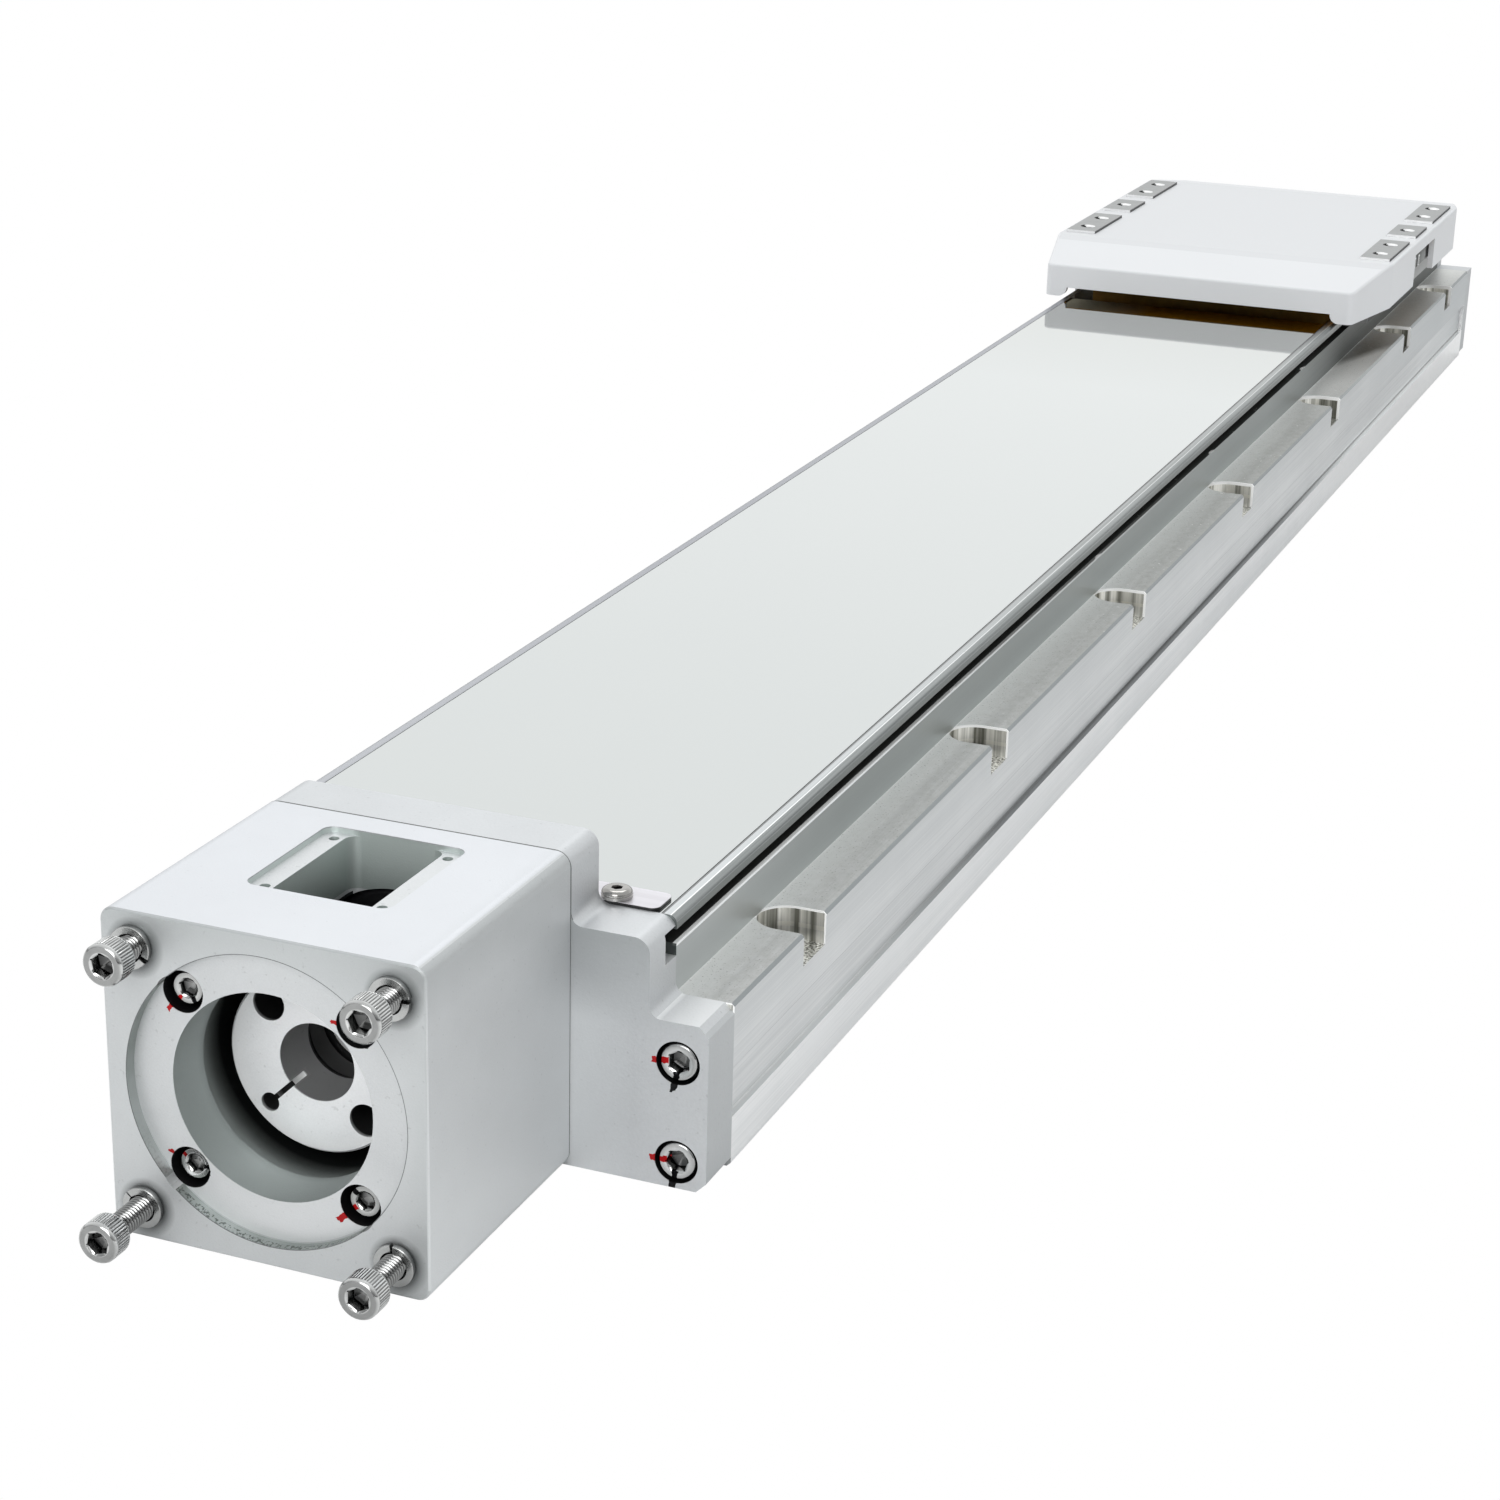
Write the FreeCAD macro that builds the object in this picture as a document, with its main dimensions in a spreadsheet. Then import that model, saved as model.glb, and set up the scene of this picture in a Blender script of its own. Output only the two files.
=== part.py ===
"""Enclosed linear module: a screw-driven slide in a notched aluminium base.

The origin is on the underside, on the centreline, between the first pair of mounting holes. +X is
across the module, +Y runs along it, away from the motor end, and +Z is up. Sizes are millimetres.
"""

import FreeCAD
import Part

import math
import os
import re

import Sketcher

os.makedirs("parts", exist_ok=True)
doc = FreeCAD.newDocument("linear_module")
sheet = doc.addObject("Spreadsheet::Sheet", "Sizes")
Vec = FreeCAD.Vector

# Driving sizes
SIZES = {
    # base
    "base_length": 953.0,
    "base_half": 75.0,
    "flange_top": 42.5,
    "flange_width": 15.0,
    "wall_top": 55.0,
    "guide_wall_gap": 3.0,
    "floor_top": 12.0,
    "flange_chamfer": 0.8,
    "band_top": 26.0,
    "band_foot": 13.1,
    "foot_chamfer": 1.0,
    "band_depth": 1.7,
    # mounting notches
    "notch_width": 15.4,
    "notch_reach": 15.2,
    "notch_depth": 8.65,
    "notch_first": 53.0,
    "notch_pitch": 150.0,
    "notch_end": 50.0,
    "notch_hole": 4.5,
    # motor housing
    "housing_side": 80.0,
    "housing_depth": 72.0,
    "axis_height": 40.0,
    "edge_round": 3.5,
    "face_chamfer": 0.5,
    "pilot_radius": 35.0,
    "pilot_depth": 3.2,
    "chamber_radius": 25.0,
    "chamber_back": 26.75,
    "chamber_front_depth": 16.0,
    "motor_hole_half": 31.82,
    "window_half": 18.3,
    "window_start": 24.4,
    "window_length": 39.1,
    "window_step": 1.5,
    "window_open_half": 12.5,
    "window_tap_x": 14.7,
    "window_tap_y": 15.85,
    # end blocks
    "block_depth": 15.5,
    "rear_depth": 10.0,
    "shoulder_top": 62.0,
    "shoulder_round": 4.0,
    "foot_round": 3.0,
    "block_chamfer": 2.5,
    "flange_screw_inset": 7.6,
    "flange_screw_low": 6.8,
    "flange_screw_rise": 25.5,
    "pocket_start": 6.5,
    "pocket_low": 52.0,
    "pocket_high": 59.5,
    "pocket_reach": 3.0,
    # top cover, strip and clamps
    "cover_bottom": 58.6,
    "ledge_round": 2.0,
    "strip_inset": 4.0,
    "strip_thick": 0.5,
    "strip_gap": 0.2,
    "clamp_inset": 5.0,
    "clamp_length": 10.1,
    "clamp_thick": 0.8,
    "clamp_screw_inset": 16.7,
    "clamp_screw_y": 3.2,
    # screws, by thread size
    "six_radius": 3.0,
    "six_head": 5.0,
    "six_high": 6.0,
    "five_radius": 2.5,
    "five_head": 4.25,
    "five_high": 5.0,
    "four_radius": 2.0,
    "four_head": 3.5,
    "four_high": 4.0,
    "button_head": 3.8,
    "button_high": 2.2,
    "seat_gap": 0.6,
    "motor_screw_length": 25.0,
    "motor_gap_tl": 6.4,
    "motor_gap_tr": 8.6,
    "motor_gap_bl": 13.9,
    "motor_gap_br": 11.8,
    "spring_washer_radius": 5.9,
    "spring_washer_thick": 1.6,
    "housing_screw_half": 21.5,
    "five_seat": 5.05,
    "housing_screw_length": 78.0,
    "flange_screw_length": 24.0,
    # guides
    "rail_half": 7.5,
    "rail_high": 14.5,
    "rail_waist": 1.3,
    "guide_clear": 0.3,
    "guide_half": 14.0,
    "guide_low": 16.0,
    "guide_top": 36.0,
    "guide_length": 56.0,
    "guide_inset": 33.0,
    # ball screw, nut and bearings
    "screw_radius": 10.0,
    "screw_journal": 7.5,
    "screw_seat": 7.0,
    "tail_journal": 6.0,
    "run_clear": 0.05,
    "nut_radius": 16.0,
    "nut_length": 36.0,
    "nut_flange": 23.0,
    "nut_flange_thick": 10.0,
    "nut_flat": 16.5,
    "cartridge_flange": 26.5,
    "cartridge_flange_thick": 8.0,
    "cartridge_radius": 20.0,
    "cartridge_lip": 2.5,
    "bearing_radius": 16.0,
    "bearing_split": 11.5,
    "bearing_width": 9.0,
    "seal_hole": 12.0,
    "locknut_radius": 10.6,
    "tail_bearing_radius": 14.0,
    "tail_bearing_split": 9.5,
    "tail_bearing_width": 8.0,
    # coupling
    "coupling_back": 48.6,
    "hub_radius": 22.25,
    "hub_length": 13.5,
    "hub_bore": 9.5,
    "hub_hole_ring": 17.0,
    "hub_hole": 4.0,
    "slit_width": 1.3,
    "slit_deep": 6.5,
    "slit_hole_ring": 17.5,
    "slit_hole": 2.3,
    "disc_gap": 2.0,
    "disc_thick": 0.6,
    "disc_inner": 11.5,
    "centre_length": 6.0,
    # carriage
    "carriage_gap": 9.3,
    "stroke": 700.0,
    "carriage_half_length": 117.5,
    "nose_step": 8.0,
    "nose_top": 76.2,
    "corner_run": 42.6,
    "bevel_run": 39.4,
    "carriage_top": 82.0,
    "skirt_bottom": 62.6,
    "mouth_top": 66.5,
    "mouth_inset": 2.2,
    "mouth_round": 3.8,
    "cover_wall": 2.4,
    "side_open_half": 22.65,
    "side_open_top": 76.5,
    "corner_round": 3.0,
    "shell_soft": 1.2,
    "pad_top": 83.0,
    "table_clear": 0.2,
    "pad_width": 12.9,
    "pad_inset": 3.1,
    "pad_near": 26.75,
    "pad_mid": 13.1,
    "pad_hole_inset": 6.4,
    "pad_hole_back": 11.4,
    "pad_hole_in": 11.25,
    "pad_thread": 2.5,
    "pad_clear": 0.15,
    "table_side_gap": 1.0,
    "side_slot_near": -2.2,
    "side_slot_pitch": 8.8,
    "side_slot_half": 0.9,
    "side_slot_low": 66.8,
    "side_slot_high": 70.8,
    "side_slot_deep": 4.0,
    "table_end_clear": 0.4,
    "table_bottom": 66.6,
    "cheek_gap": 1.0,
    "cheek_reach": 6.0,
    "wing_low": 55.4,
    "wing_high": 58.2,
    "slider_gap": 1.5,
    "slider_inset": 12.5,
    "boss_half": 18.5,
    "boss_gap": 0.5,
    "boss_low": 21.0,
    "wing_screw_reach": 3.2,
    "wing_screw_near": 25.0,
    "wing_screw_inset": 14.5,
    "three_radius": 1.5,
    "countersink": 1.1,
    "wiper_thick": 6.0,
    "wiper_high": 10.0,
    "stop_z": 47.0,
    "stop_radius": 6.5,
    "stop_length": 20.0,
}

for row, (alias, number) in enumerate(SIZES.items(), start=1):
    sheet.set("A%d" % row, alias)
    sheet.set("B%d" % row, str(number))
    sheet.setAlias("B%d" % row, alias)
doc.recompute()

# Sizes that follow from the driving ones, each a plain sum
DERIVED = {
    "wall_half": "base_half-flange_width",
    "coupling_start": "housing_depth-coupling_back",
    "rail_x": "boss_half+boss_gap+guide_half",
    "stop_x": "boss_half+boss_gap+guide_half",
    "inner_half": "rail_x+guide_half+guide_wall_gap",
    "flange_screw_x": "base_half-flange_screw_inset",
    "strip_half": "wall_half-strip_inset",
    "clamp_half": "wall_half-clamp_inset",
    "clamp_screw_x": "wall_half-clamp_screw_inset",
    "nose_half": "base_half-nose_step",
    "mouth_half": "wall_half-mouth_inset",
    "pad_outer": "base_half-cover_wall-table_clear",
    "pad_inner": "pad_outer-pad_width",
    "pad_hole_x": "pad_outer-pad_hole_inset",
    "table_half_length": "carriage_half_length-corner_run-table_end_clear",
    "pad_far": "table_half_length-pad_inset",
    "pad_hole_far": "pad_far-pad_hole_back",
    "pad_hole_near": "pad_near+pad_hole_in",
    "cheek_inner": "wall_half+cheek_gap",
    "cheek_outer": "wall_half+cheek_reach",
    "wing_screw_x": "wall_half+wing_screw_reach",
    "wing_screw_far": "table_half_length-wing_screw_inset",
    "slider_half": "inner_half-slider_gap",
    "slider_half_length": "carriage_half_length-slider_inset",
    "guide_spread": "slider_half_length-guide_inset",
    "carriage_rest": "base_length-notch_first-carriage_half_length-carriage_gap",
}

# Places along Y that several pieces share
BASE0 = "(-notch_first)"
BASE1 = "(base_length-notch_first)"
BLOCK = "(-notch_first-block_depth)"
FRONT = "(-notch_first-block_depth-housing_depth)"
BEARINGS = "(%s-cartridge_flange_thick+cartridge_lip)" % BLOCK
COVER_IN = "(carriage_top-cover_wall)"


def sized(text):
    """An expression with each size's name pointed at its cell, and each derived one written out."""

    def word(match):
        name = match.group()
        if name in DERIVED:
            return "(" + sized(DERIVED[name]) + ")"
        return "Sizes." + name if name in SIZES else name

    return re.sub(r"[a-z_]+", word, text)


def bind(obj, prop, text):
    """Ties one property of an object to the sheet."""
    obj.setExpression(prop, sized(str(text)))


def place(obj, x="0", y="0", z="0", turn=None):
    """Gives an object its place, and its turn as (axis, degrees)."""
    rotation = FreeCAD.Rotation(turn[0], turn[1]) if turn else FreeCAD.Rotation()
    obj.Placement = FreeCAD.Placement(Vec(0, 0, 0), rotation)
    bind(obj, "Placement.Base.x", x)
    bind(obj, "Placement.Base.y", y)
    bind(obj, "Placement.Base.z", z)
    return obj


# Bodies, sketches and features

NODES = []


def new_body(label, x="0", y="0", z="0"):
    """A body for one piece, placed by its own origin."""
    body = doc.addObject("PartDesign::Body", label + "_body")
    body.Label = label
    place(body, x, y, z)
    NODES.append(body)
    return body


def new_sketch(body, name, role, offset=None):
    """A sketch on one of the body's own planes, moved along that plane's normal."""
    sk = body.newObject("Sketcher::SketchObject", name)
    plane = [o for o in body.Origin.OriginFeatures if o.Role == role][0]
    sk.AttachmentSupport = [(plane, "")]
    sk.MapMode = "FlatFace"
    if offset is not None:
        bind(sk, "AttachmentOffset.Base.z", offset)
    return sk


def pin_point(sk, geo, pos, x, y):
    """Holds one point of a sketch at a bound x and y from the sketch's origin."""
    now = sk.getPoint(geo, pos)
    for kind, text, value in (("DistanceX", x, now.x), ("DistanceY", y, now.y)):
        index = sk.addConstraint(Sketcher.Constraint(kind, -1, 1, geo, pos, value))
        name = "p%d" % index
        sk.renameConstraint(index, name)
        bind(sk, "Constraints." + name, text)


def pin_across(sk, geo, pos, x):
    """Holds only the x of one point; an arc between held ends needs no more."""
    value = sk.getPoint(geo, pos).x
    index = sk.addConstraint(Sketcher.Constraint("DistanceX", -1, 1, geo, pos, value))
    name = "c%d" % index
    sk.renameConstraint(index, name)
    bind(sk, "Constraints." + name, x)


def outline(sk, points):
    """A closed outline of straight lines through bound points."""
    first = sk.GeometryCount
    count = len(points)
    ring = []
    for k in range(count):
        angle = 2 * math.pi * k / count
        ring.append(Vec(60 * math.cos(angle), 60 * math.sin(angle), 0))
    for k in range(count):
        sk.addGeometry(Part.LineSegment(ring[k], ring[(k + 1) % count]), False)
    for k in range(count):
        sk.addConstraint(Sketcher.Constraint("Coincident", first + k, 2, first + (k + 1) % count, 1))
    for k, (x, y) in enumerate(points):
        pin_point(sk, first + k, 1, x, y)


def box_outline(sk, x0, x1, y0, y1):
    """A rectangle between bound edges."""
    outline(sk, [(x0, y0), (x1, y0), (x1, y1), (x0, y1)])


def ring_outline(sk, x, y, radius):
    """A circle with a bound centre and radius."""
    geo = sk.addGeometry(Part.Circle(Vec(5, 5, 0), Vec(0, 0, 1), 2), False)
    pin_point(sk, geo, 3, x, y)
    index = sk.addConstraint(Sketcher.Constraint("Radius", geo, 2.0))
    name = "r%d" % index
    sk.renameConstraint(index, name)
    bind(sk, "Constraints." + name, radius)


def solid_of(body):
    """The body's solid after a recompute."""
    doc.recompute()
    return body.Tip.Shape


def pad(body, sk, length, middle=False, reverse=False):
    """Adds the sketch's outline as a solid run."""
    feature = body.newObject("PartDesign::Pad", sk.Name + "_pad")
    feature.Profile = sk
    bind(feature, "Length", length)
    feature.Midplane = middle
    feature.Reversed = reverse
    solid_of(body)
    return feature


def pocket(body, sk, depth=None, reverse=False, both=False):
    """Cuts the sketch's outline to a depth, or right through when none is given."""
    before = body.Tip.Shape.Volume
    feature = body.newObject("PartDesign::Pocket", sk.Name + "_cut")
    feature.Profile = sk
    if depth is None:
        feature.Type = "ThroughAll"
    else:
        bind(feature, "Length", depth)
    feature.Reversed = reverse
    feature.Midplane = both
    after = solid_of(body).Volume
    if not after < before - 0.01:
        raise RuntimeError("%s cuts nothing" % feature.Name)
    return feature


def dress(body, kind, name, prop, size, test):
    """Rounds or chamfers the edges that pass a test on their bounding box."""
    base = body.Tip
    names = ["Edge%d" % (k + 1) for k, e in enumerate(base.Shape.Edges) if test(e.BoundBox, e)]
    if not names:
        raise RuntimeError("%s finds no edge" % name)
    feature = body.newObject("PartDesign::" + kind, name)
    feature.Base = (base, names)
    bind(feature, prop, size)
    solid_of(body)
    return feature


def near(a, b):
    """True where two lengths agree."""
    return abs(a - b) < 0.02


def size_of(name):
    """The present value of a size, driving or derived."""
    if name not in DERIVED:
        return float(sheet.get(name))
    total = 0.0
    for sign, word in re.findall(r"([+-]?)([a-z_]+)", DERIVED[name]):
        total += -size_of(word) if sign == "-" else size_of(word)
    return total


# Primitive solids

ALONG_Y = (Vec(1, 0, 0), -90.0)
AGAINST_Y = (Vec(1, 0, 0), 90.0)
COUNT = [0]


def fresh(stem):
    """A new internal name."""
    COUNT[0] += 1
    return "%s_%d" % (stem, COUNT[0])


def rod(radius, length, x="0", y="0", z="0", turn=None):
    """A round bar from its own end face."""
    obj = doc.addObject("Part::Cylinder", fresh("rod"))
    bind(obj, "Radius", radius)
    bind(obj, "Height", length)
    return place(obj, x, y, z, turn)


def block(wide, deep, high, x="0", y="0", z="0"):
    """A box from its low corner."""
    obj = doc.addObject("Part::Box", fresh("block"))
    bind(obj, "Length", wide)
    bind(obj, "Width", deep)
    bind(obj, "Height", high)
    return place(obj, x, y, z)


def hexagon(radius, length, x="0", y="0", z="0", turn=None):
    """A six-sided bar for a wrench socket."""
    obj = doc.addObject("Part::Prism", fresh("hexagon"))
    obj.Polygon = 6
    bind(obj, "Circumradius", radius)
    bind(obj, "Height", length)
    return place(obj, x, y, z, turn)


def fuse(parts):
    """Joins solids."""
    obj = doc.addObject("Part::MultiFuse", fresh("fuse"))
    obj.Shapes = parts
    return obj


def cut(base, tools):
    """Takes tools away from a base."""
    obj = doc.addObject("Part::Cut", fresh("cut"))
    obj.Base = base
    obj.Tool = tools[0] if len(tools) == 1 else fuse(tools)
    return obj


def node(label, obj):
    """Names a finished piece."""
    obj.Label = label
    NODES.append(obj)
    return obj


def group(label, parts):
    """Names a set of separate equal pieces."""
    obj = doc.addObject("Part::Compound", fresh("group"))
    obj.Links = parts
    return node(label, obj)


def bolt(head, high, shank, length, x, y, z, turn, sign, socket=True):
    """A socket screw whose head seats at the given point; sign is the way its shank runs."""
    axis = "y" if turn else "z"
    back = {"x": x, "y": y, "z": z}
    deep = dict(back)
    deep[axis] = "%s-(%s)*(%s)" % (back[axis], sign, high)
    parts = [rod(head, high, deep["x"], deep["y"], deep["z"], turn)]
    parts.append(rod(shank, length, x, y, z, turn))
    whole = fuse(parts)
    if not socket:
        return whole
    return cut(whole, [hexagon("%s*0.58" % head, "%s*0.55" % high, deep["x"], deep["y"], deep["z"], turn)])


# Base
# One extrusion: a floor, two walls and two flanges, with a shallow band along each side.

base = new_body("base_extrusion", y=BASE0)
sk = new_sketch(base, "base_section", "XZ_Plane")
half_section = [
    ("base_half-foot_chamfer", "0"),
    ("base_half", "foot_chamfer"),
    ("base_half", "band_foot"),
    ("base_half-band_depth", "band_foot"),
    ("base_half-band_depth", "band_top"),
    ("base_half", "band_top"),
    ("base_half", "flange_top-flange_chamfer"),
    ("base_half-flange_chamfer", "flange_top"),
    ("wall_half", "flange_top"),
    ("wall_half", "wall_top"),
    ("inner_half", "wall_top"),
    ("inner_half", "floor_top"),
]
mirrored = [("-(%s)" % x, z) for x, z in reversed(half_section)]
outline(sk, half_section + mirrored)
pad(base, sk, "base_length", reverse=True)


def notch_pair(stem, y):
    """A pair of side-open, round-ended pockets in the flange tops, each with its through hole."""
    sk = new_sketch(base, stem, "XY_Plane", "flange_top")
    for side in (1, -1):
        first = sk.GeometryCount
        x0 = side * 68.0
        y0 = 60.0
        sk.addGeometry(Part.LineSegment(Vec(side * 80, y0 + 8, 0), Vec(x0, y0 + 8, 0)), False)
        start, end = (90, 270) if side > 0 else (-90, 90)
        circle = Part.Circle(Vec(x0, y0, 0), Vec(0, 0, 1), 8)
        sk.addGeometry(Part.ArcOfCircle(circle, math.radians(start), math.radians(end)), False)
        sk.addGeometry(Part.LineSegment(Vec(x0, y0 - 8, 0), Vec(side * 80, y0 - 8, 0)), False)
        sk.addGeometry(Part.LineSegment(Vec(side * 80, y0 - 8, 0), Vec(side * 80, y0 + 8, 0)), False)
        high, low = (1, 2) if side > 0 else (2, 1)
        sk.addConstraint(Sketcher.Constraint("Coincident", first, 2, first + 1, high))
        sk.addConstraint(Sketcher.Constraint("Coincident", first + 1, low, first + 2, 1))
        sk.addConstraint(Sketcher.Constraint("Coincident", first + 2, 2, first + 3, 1))
        sk.addConstraint(Sketcher.Constraint("Coincident", first + 3, 2, first, 1))
        out = "%d*(base_half+2)" % side
        centre = "%d*(base_half-notch_reach+notch_width/2)" % side
        pin_point(sk, first, 1, out, "%s+notch_width/2" % y)
        pin_point(sk, first, 2, centre, "%s+notch_width/2" % y)
        pin_point(sk, first + 2, 1, centre, "%s-notch_width/2" % y)
        pin_point(sk, first + 2, 2, out, "%s-notch_width/2" % y)
        pin_across(sk, first + 1, 3, centre)
    cuts = [pocket(base, sk, "notch_depth")]
    sk = new_sketch(base, stem + "_holes", "XY_Plane", "flange_top")
    for side in (1, -1):
        centre = "%d*(base_half-notch_reach+notch_width/2)" % side
        ring_outline(sk, centre, y, "notch_hole")
    cuts.append(pocket(base, sk))
    return cuts


cuts = notch_pair("notches", "notch_first")
row = base.newObject("PartDesign::LinearPattern", "notch_row")
row.Originals = cuts
row.Direction = (new_sketch(base, "row_line", "YZ_Plane"), ["H_Axis"])
ROW = "floor((base_length-notch_first-notch_end)/notch_pitch)"
bind(row, "Length", "notch_pitch*" + ROW)
bind(row, "Occurrences", ROW + "+1")
base.Tip = row
before = cuts[-1].Shape.Volume
if not solid_of(base).Volume < before - 1:
    raise RuntimeError("the notch row cuts nothing")
notch_pair("last_notches", "base_length-notch_end")

# Seats for the two bearing blocks' screws, and the rails' screws in the floor
sk = new_sketch(base, "base_end_threads", "XZ_Plane")
for side in ("", "-"):
    for z in ("flange_screw_low", "flange_screw_low+flange_screw_rise"):
        ring_outline(sk, side + "flange_screw_x", z, "six_radius")
pocket(base, sk, "flange_screw_length")
sk = new_sketch(base, "base_rear_threads", "XZ_Plane", "-base_length")
for side in ("", "-"):
    for z in ("flange_screw_low", "flange_screw_low+flange_screw_rise"):
        ring_outline(sk, side + "flange_screw_x", z, "six_radius")
pocket(base, sk, "flange_screw_length", reverse=True)
RAIL_SCREWS = ["base_length*%g" % ((k + 0.5) / 8) for k in range(8)]
sk = new_sketch(base, "rail_threads", "XY_Plane", "floor_top")
for y in RAIL_SCREWS:
    for side in ("", "-"):
        ring_outline(sk, side + "rail_x", y, "four_radius")
pocket(base, sk, "floor_top-2")

# Motor housing
# A square box with a pilot recess, a chamber for the coupling and a window over it.

housing = new_body("motor_housing", y=FRONT)
sk = new_sketch(housing, "housing_face", "XZ_Plane")
box_outline(sk, "-housing_side/2", "housing_side/2", "0", "housing_side")
pad(housing, sk, "housing_depth", reverse=True)
dress(housing, "Fillet", "housing_rounds", "Radius", "edge_round", lambda b, e: b.YLength > 1)
dress(housing, "Chamfer", "housing_face_edge", "Size", "face_chamfer", lambda b, e: b.YMax < 0.01)
sk = new_sketch(housing, "pilot", "XZ_Plane")
ring_outline(sk, "0", "axis_height", "pilot_radius")
pocket(housing, sk, "pilot_depth")
sk = new_sketch(housing, "chamber", "XZ_Plane")
ring_outline(sk, "0", "axis_height", "chamber_radius")
pocket(housing, sk)
sk = new_sketch(housing, "chamber_rear", "XZ_Plane", "-housing_depth")
ring_outline(sk, "0", "axis_height", "chamber_back")
pocket(housing, sk, "housing_depth-chamber_front_depth", reverse=True)


def four(sk, half, radius):
    """Four holes on a square about the screw axis."""
    for x in (half, "-" + half):
        for z in ("axis_height+" + half, "axis_height-" + half):
            ring_outline(sk, x, z, radius)


sk = new_sketch(housing, "motor_threads", "XZ_Plane")
four(sk, "motor_hole_half", "six_radius")
pocket(housing, sk, "motor_screw_length")
sk = new_sketch(housing, "housing_screw_holes", "XZ_Plane")
four(sk, "housing_screw_half", "five_radius")
pocket(housing, sk)
sk = new_sketch(housing, "housing_screw_seats", "XZ_Plane")
four(sk, "housing_screw_half", "five_seat")
pocket(housing, sk, "pilot_depth+five_high+seat_gap")

# Window: a stepped recess with four tapped holes for a lid, open into the chamber
WINDOW_Y = ("window_start", "window_start+window_length")
sk = new_sketch(housing, "window_recess", "XY_Plane", "housing_side")
box_outline(sk, "-window_half", "window_half", *WINDOW_Y)
pocket(housing, sk, "window_step")
sk = new_sketch(housing, "window_opening", "XY_Plane", "housing_side")
box_outline(sk, "-window_open_half", "window_open_half", *WINDOW_Y)
pocket(housing, sk, "housing_side-axis_height")
dress(
    housing,
    "Fillet",
    "window_corners",
    "Radius",
    "foot_round",
    lambda b, e: b.ZMax > size_of("housing_side") - size_of("window_step") - 0.1
    and b.ZLength > 1
    and b.XLength < 0.01
    and b.YLength < 0.01
    and abs(b.XMax) < size_of("window_half") + 0.1,
)
sk = new_sketch(housing, "window_taps", "XY_Plane", "housing_side")
for x in ("window_tap_x", "-window_tap_x"):
    for y in ("window_tap_y", "-window_tap_y"):
        ring_outline(sk, x, "window_start+window_length/2+" + y, "1.25")
pocket(housing, sk, "8")

# Drive end block
# A stepped plate: raised middle, shoulders at strip height, and flanges in line with the base.

WING = [
    ("base_half-block_chamfer", "0"),
    ("base_half", "block_chamfer"),
    ("base_half", "flange_top-block_chamfer"),
    ("base_half-block_chamfer", "flange_top"),
    ("wall_half", "flange_top"),
    ("wall_half", "shoulder_top"),
]


def both_sides(points):
    """A half outline and its mirror image."""
    return points + [("-(%s)" % x, z) for x, z in reversed(points)]


def screw_seats(body, stem, depth, offset=None):
    """Counterbored holes for the four flange screws."""
    spots = []
    for side in ("", "-"):
        for z in ("flange_screw_low", "flange_screw_low+flange_screw_rise"):
            spots.append((side + "flange_screw_x", z))
    sk = new_sketch(body, stem + "_holes", "XZ_Plane")
    for x, z in spots:
        ring_outline(sk, x, z, "six_radius")
    pocket(body, sk)
    sk = new_sketch(body, stem + "_seats", "XZ_Plane", offset)
    for x, z in spots:
        ring_outline(sk, x, z, "six_head+0.5")
    pocket(body, sk, depth, reverse=offset is not None)


drive = new_body("drive_end_block", y=BLOCK)
sk = new_sketch(drive, "drive_section", "XZ_Plane")
raised = [("housing_side/2", "shoulder_top"), ("housing_side/2", "housing_side")]
outline(sk, both_sides(WING + raised))
pad(drive, sk, "block_depth", reverse=True)


def block_corner(b, x, z):
    """True for an edge along Y at a given distance from the middle and height."""
    return b.YLength > 1 and b.ZLength < 0.1 and near(abs(b.Center.x), x) and near(b.Center.z, z)


dress(
    drive,
    "Fillet",
    "drive_top_rounds",
    "Radius",
    "shoulder_round",
    lambda b, e: block_corner(b, size_of("housing_side") / 2, size_of("housing_side"))
    or block_corner(b, size_of("wall_half"), size_of("shoulder_top")),
)
dress(
    drive,
    "Fillet",
    "drive_foot_rounds",
    "Radius",
    "foot_round",
    lambda b, e: block_corner(b, size_of("housing_side") / 2, size_of("shoulder_top"))
    or block_corner(b, size_of("wall_half"), size_of("flange_top")),
)
sk = new_sketch(drive, "cartridge_bore", "XZ_Plane")
ring_outline(sk, "0", "axis_height", "cartridge_radius")
pocket(drive, sk)
sk = new_sketch(drive, "housing_screw_threads", "XZ_Plane")
four(sk, "housing_screw_half", "five_radius")
pocket(drive, sk, "housing_screw_length-housing_depth+pilot_depth+five_high+seat_gap+2")
screw_seats(drive, "drive", "six_high+0.4")
# The side slot runs a little way into each shoulder.
sk = new_sketch(drive, "slot_pockets", "XZ_Plane", "-block_depth")
for side in ("", "-"):
    box_outline(
        sk, side + "(wall_half-pocket_reach)", side + "(wall_half+1)", "pocket_low", "pocket_high"
    )
pocket(drive, sk, "pocket_start", reverse=True)
sk = new_sketch(drive, "front_stop_holes", "XZ_Plane", "-block_depth")
for side in ("", "-"):
    ring_outline(sk, side + "stop_x", "stop_z", "four_radius")
pocket(drive, sk, "8", reverse=True)

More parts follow.
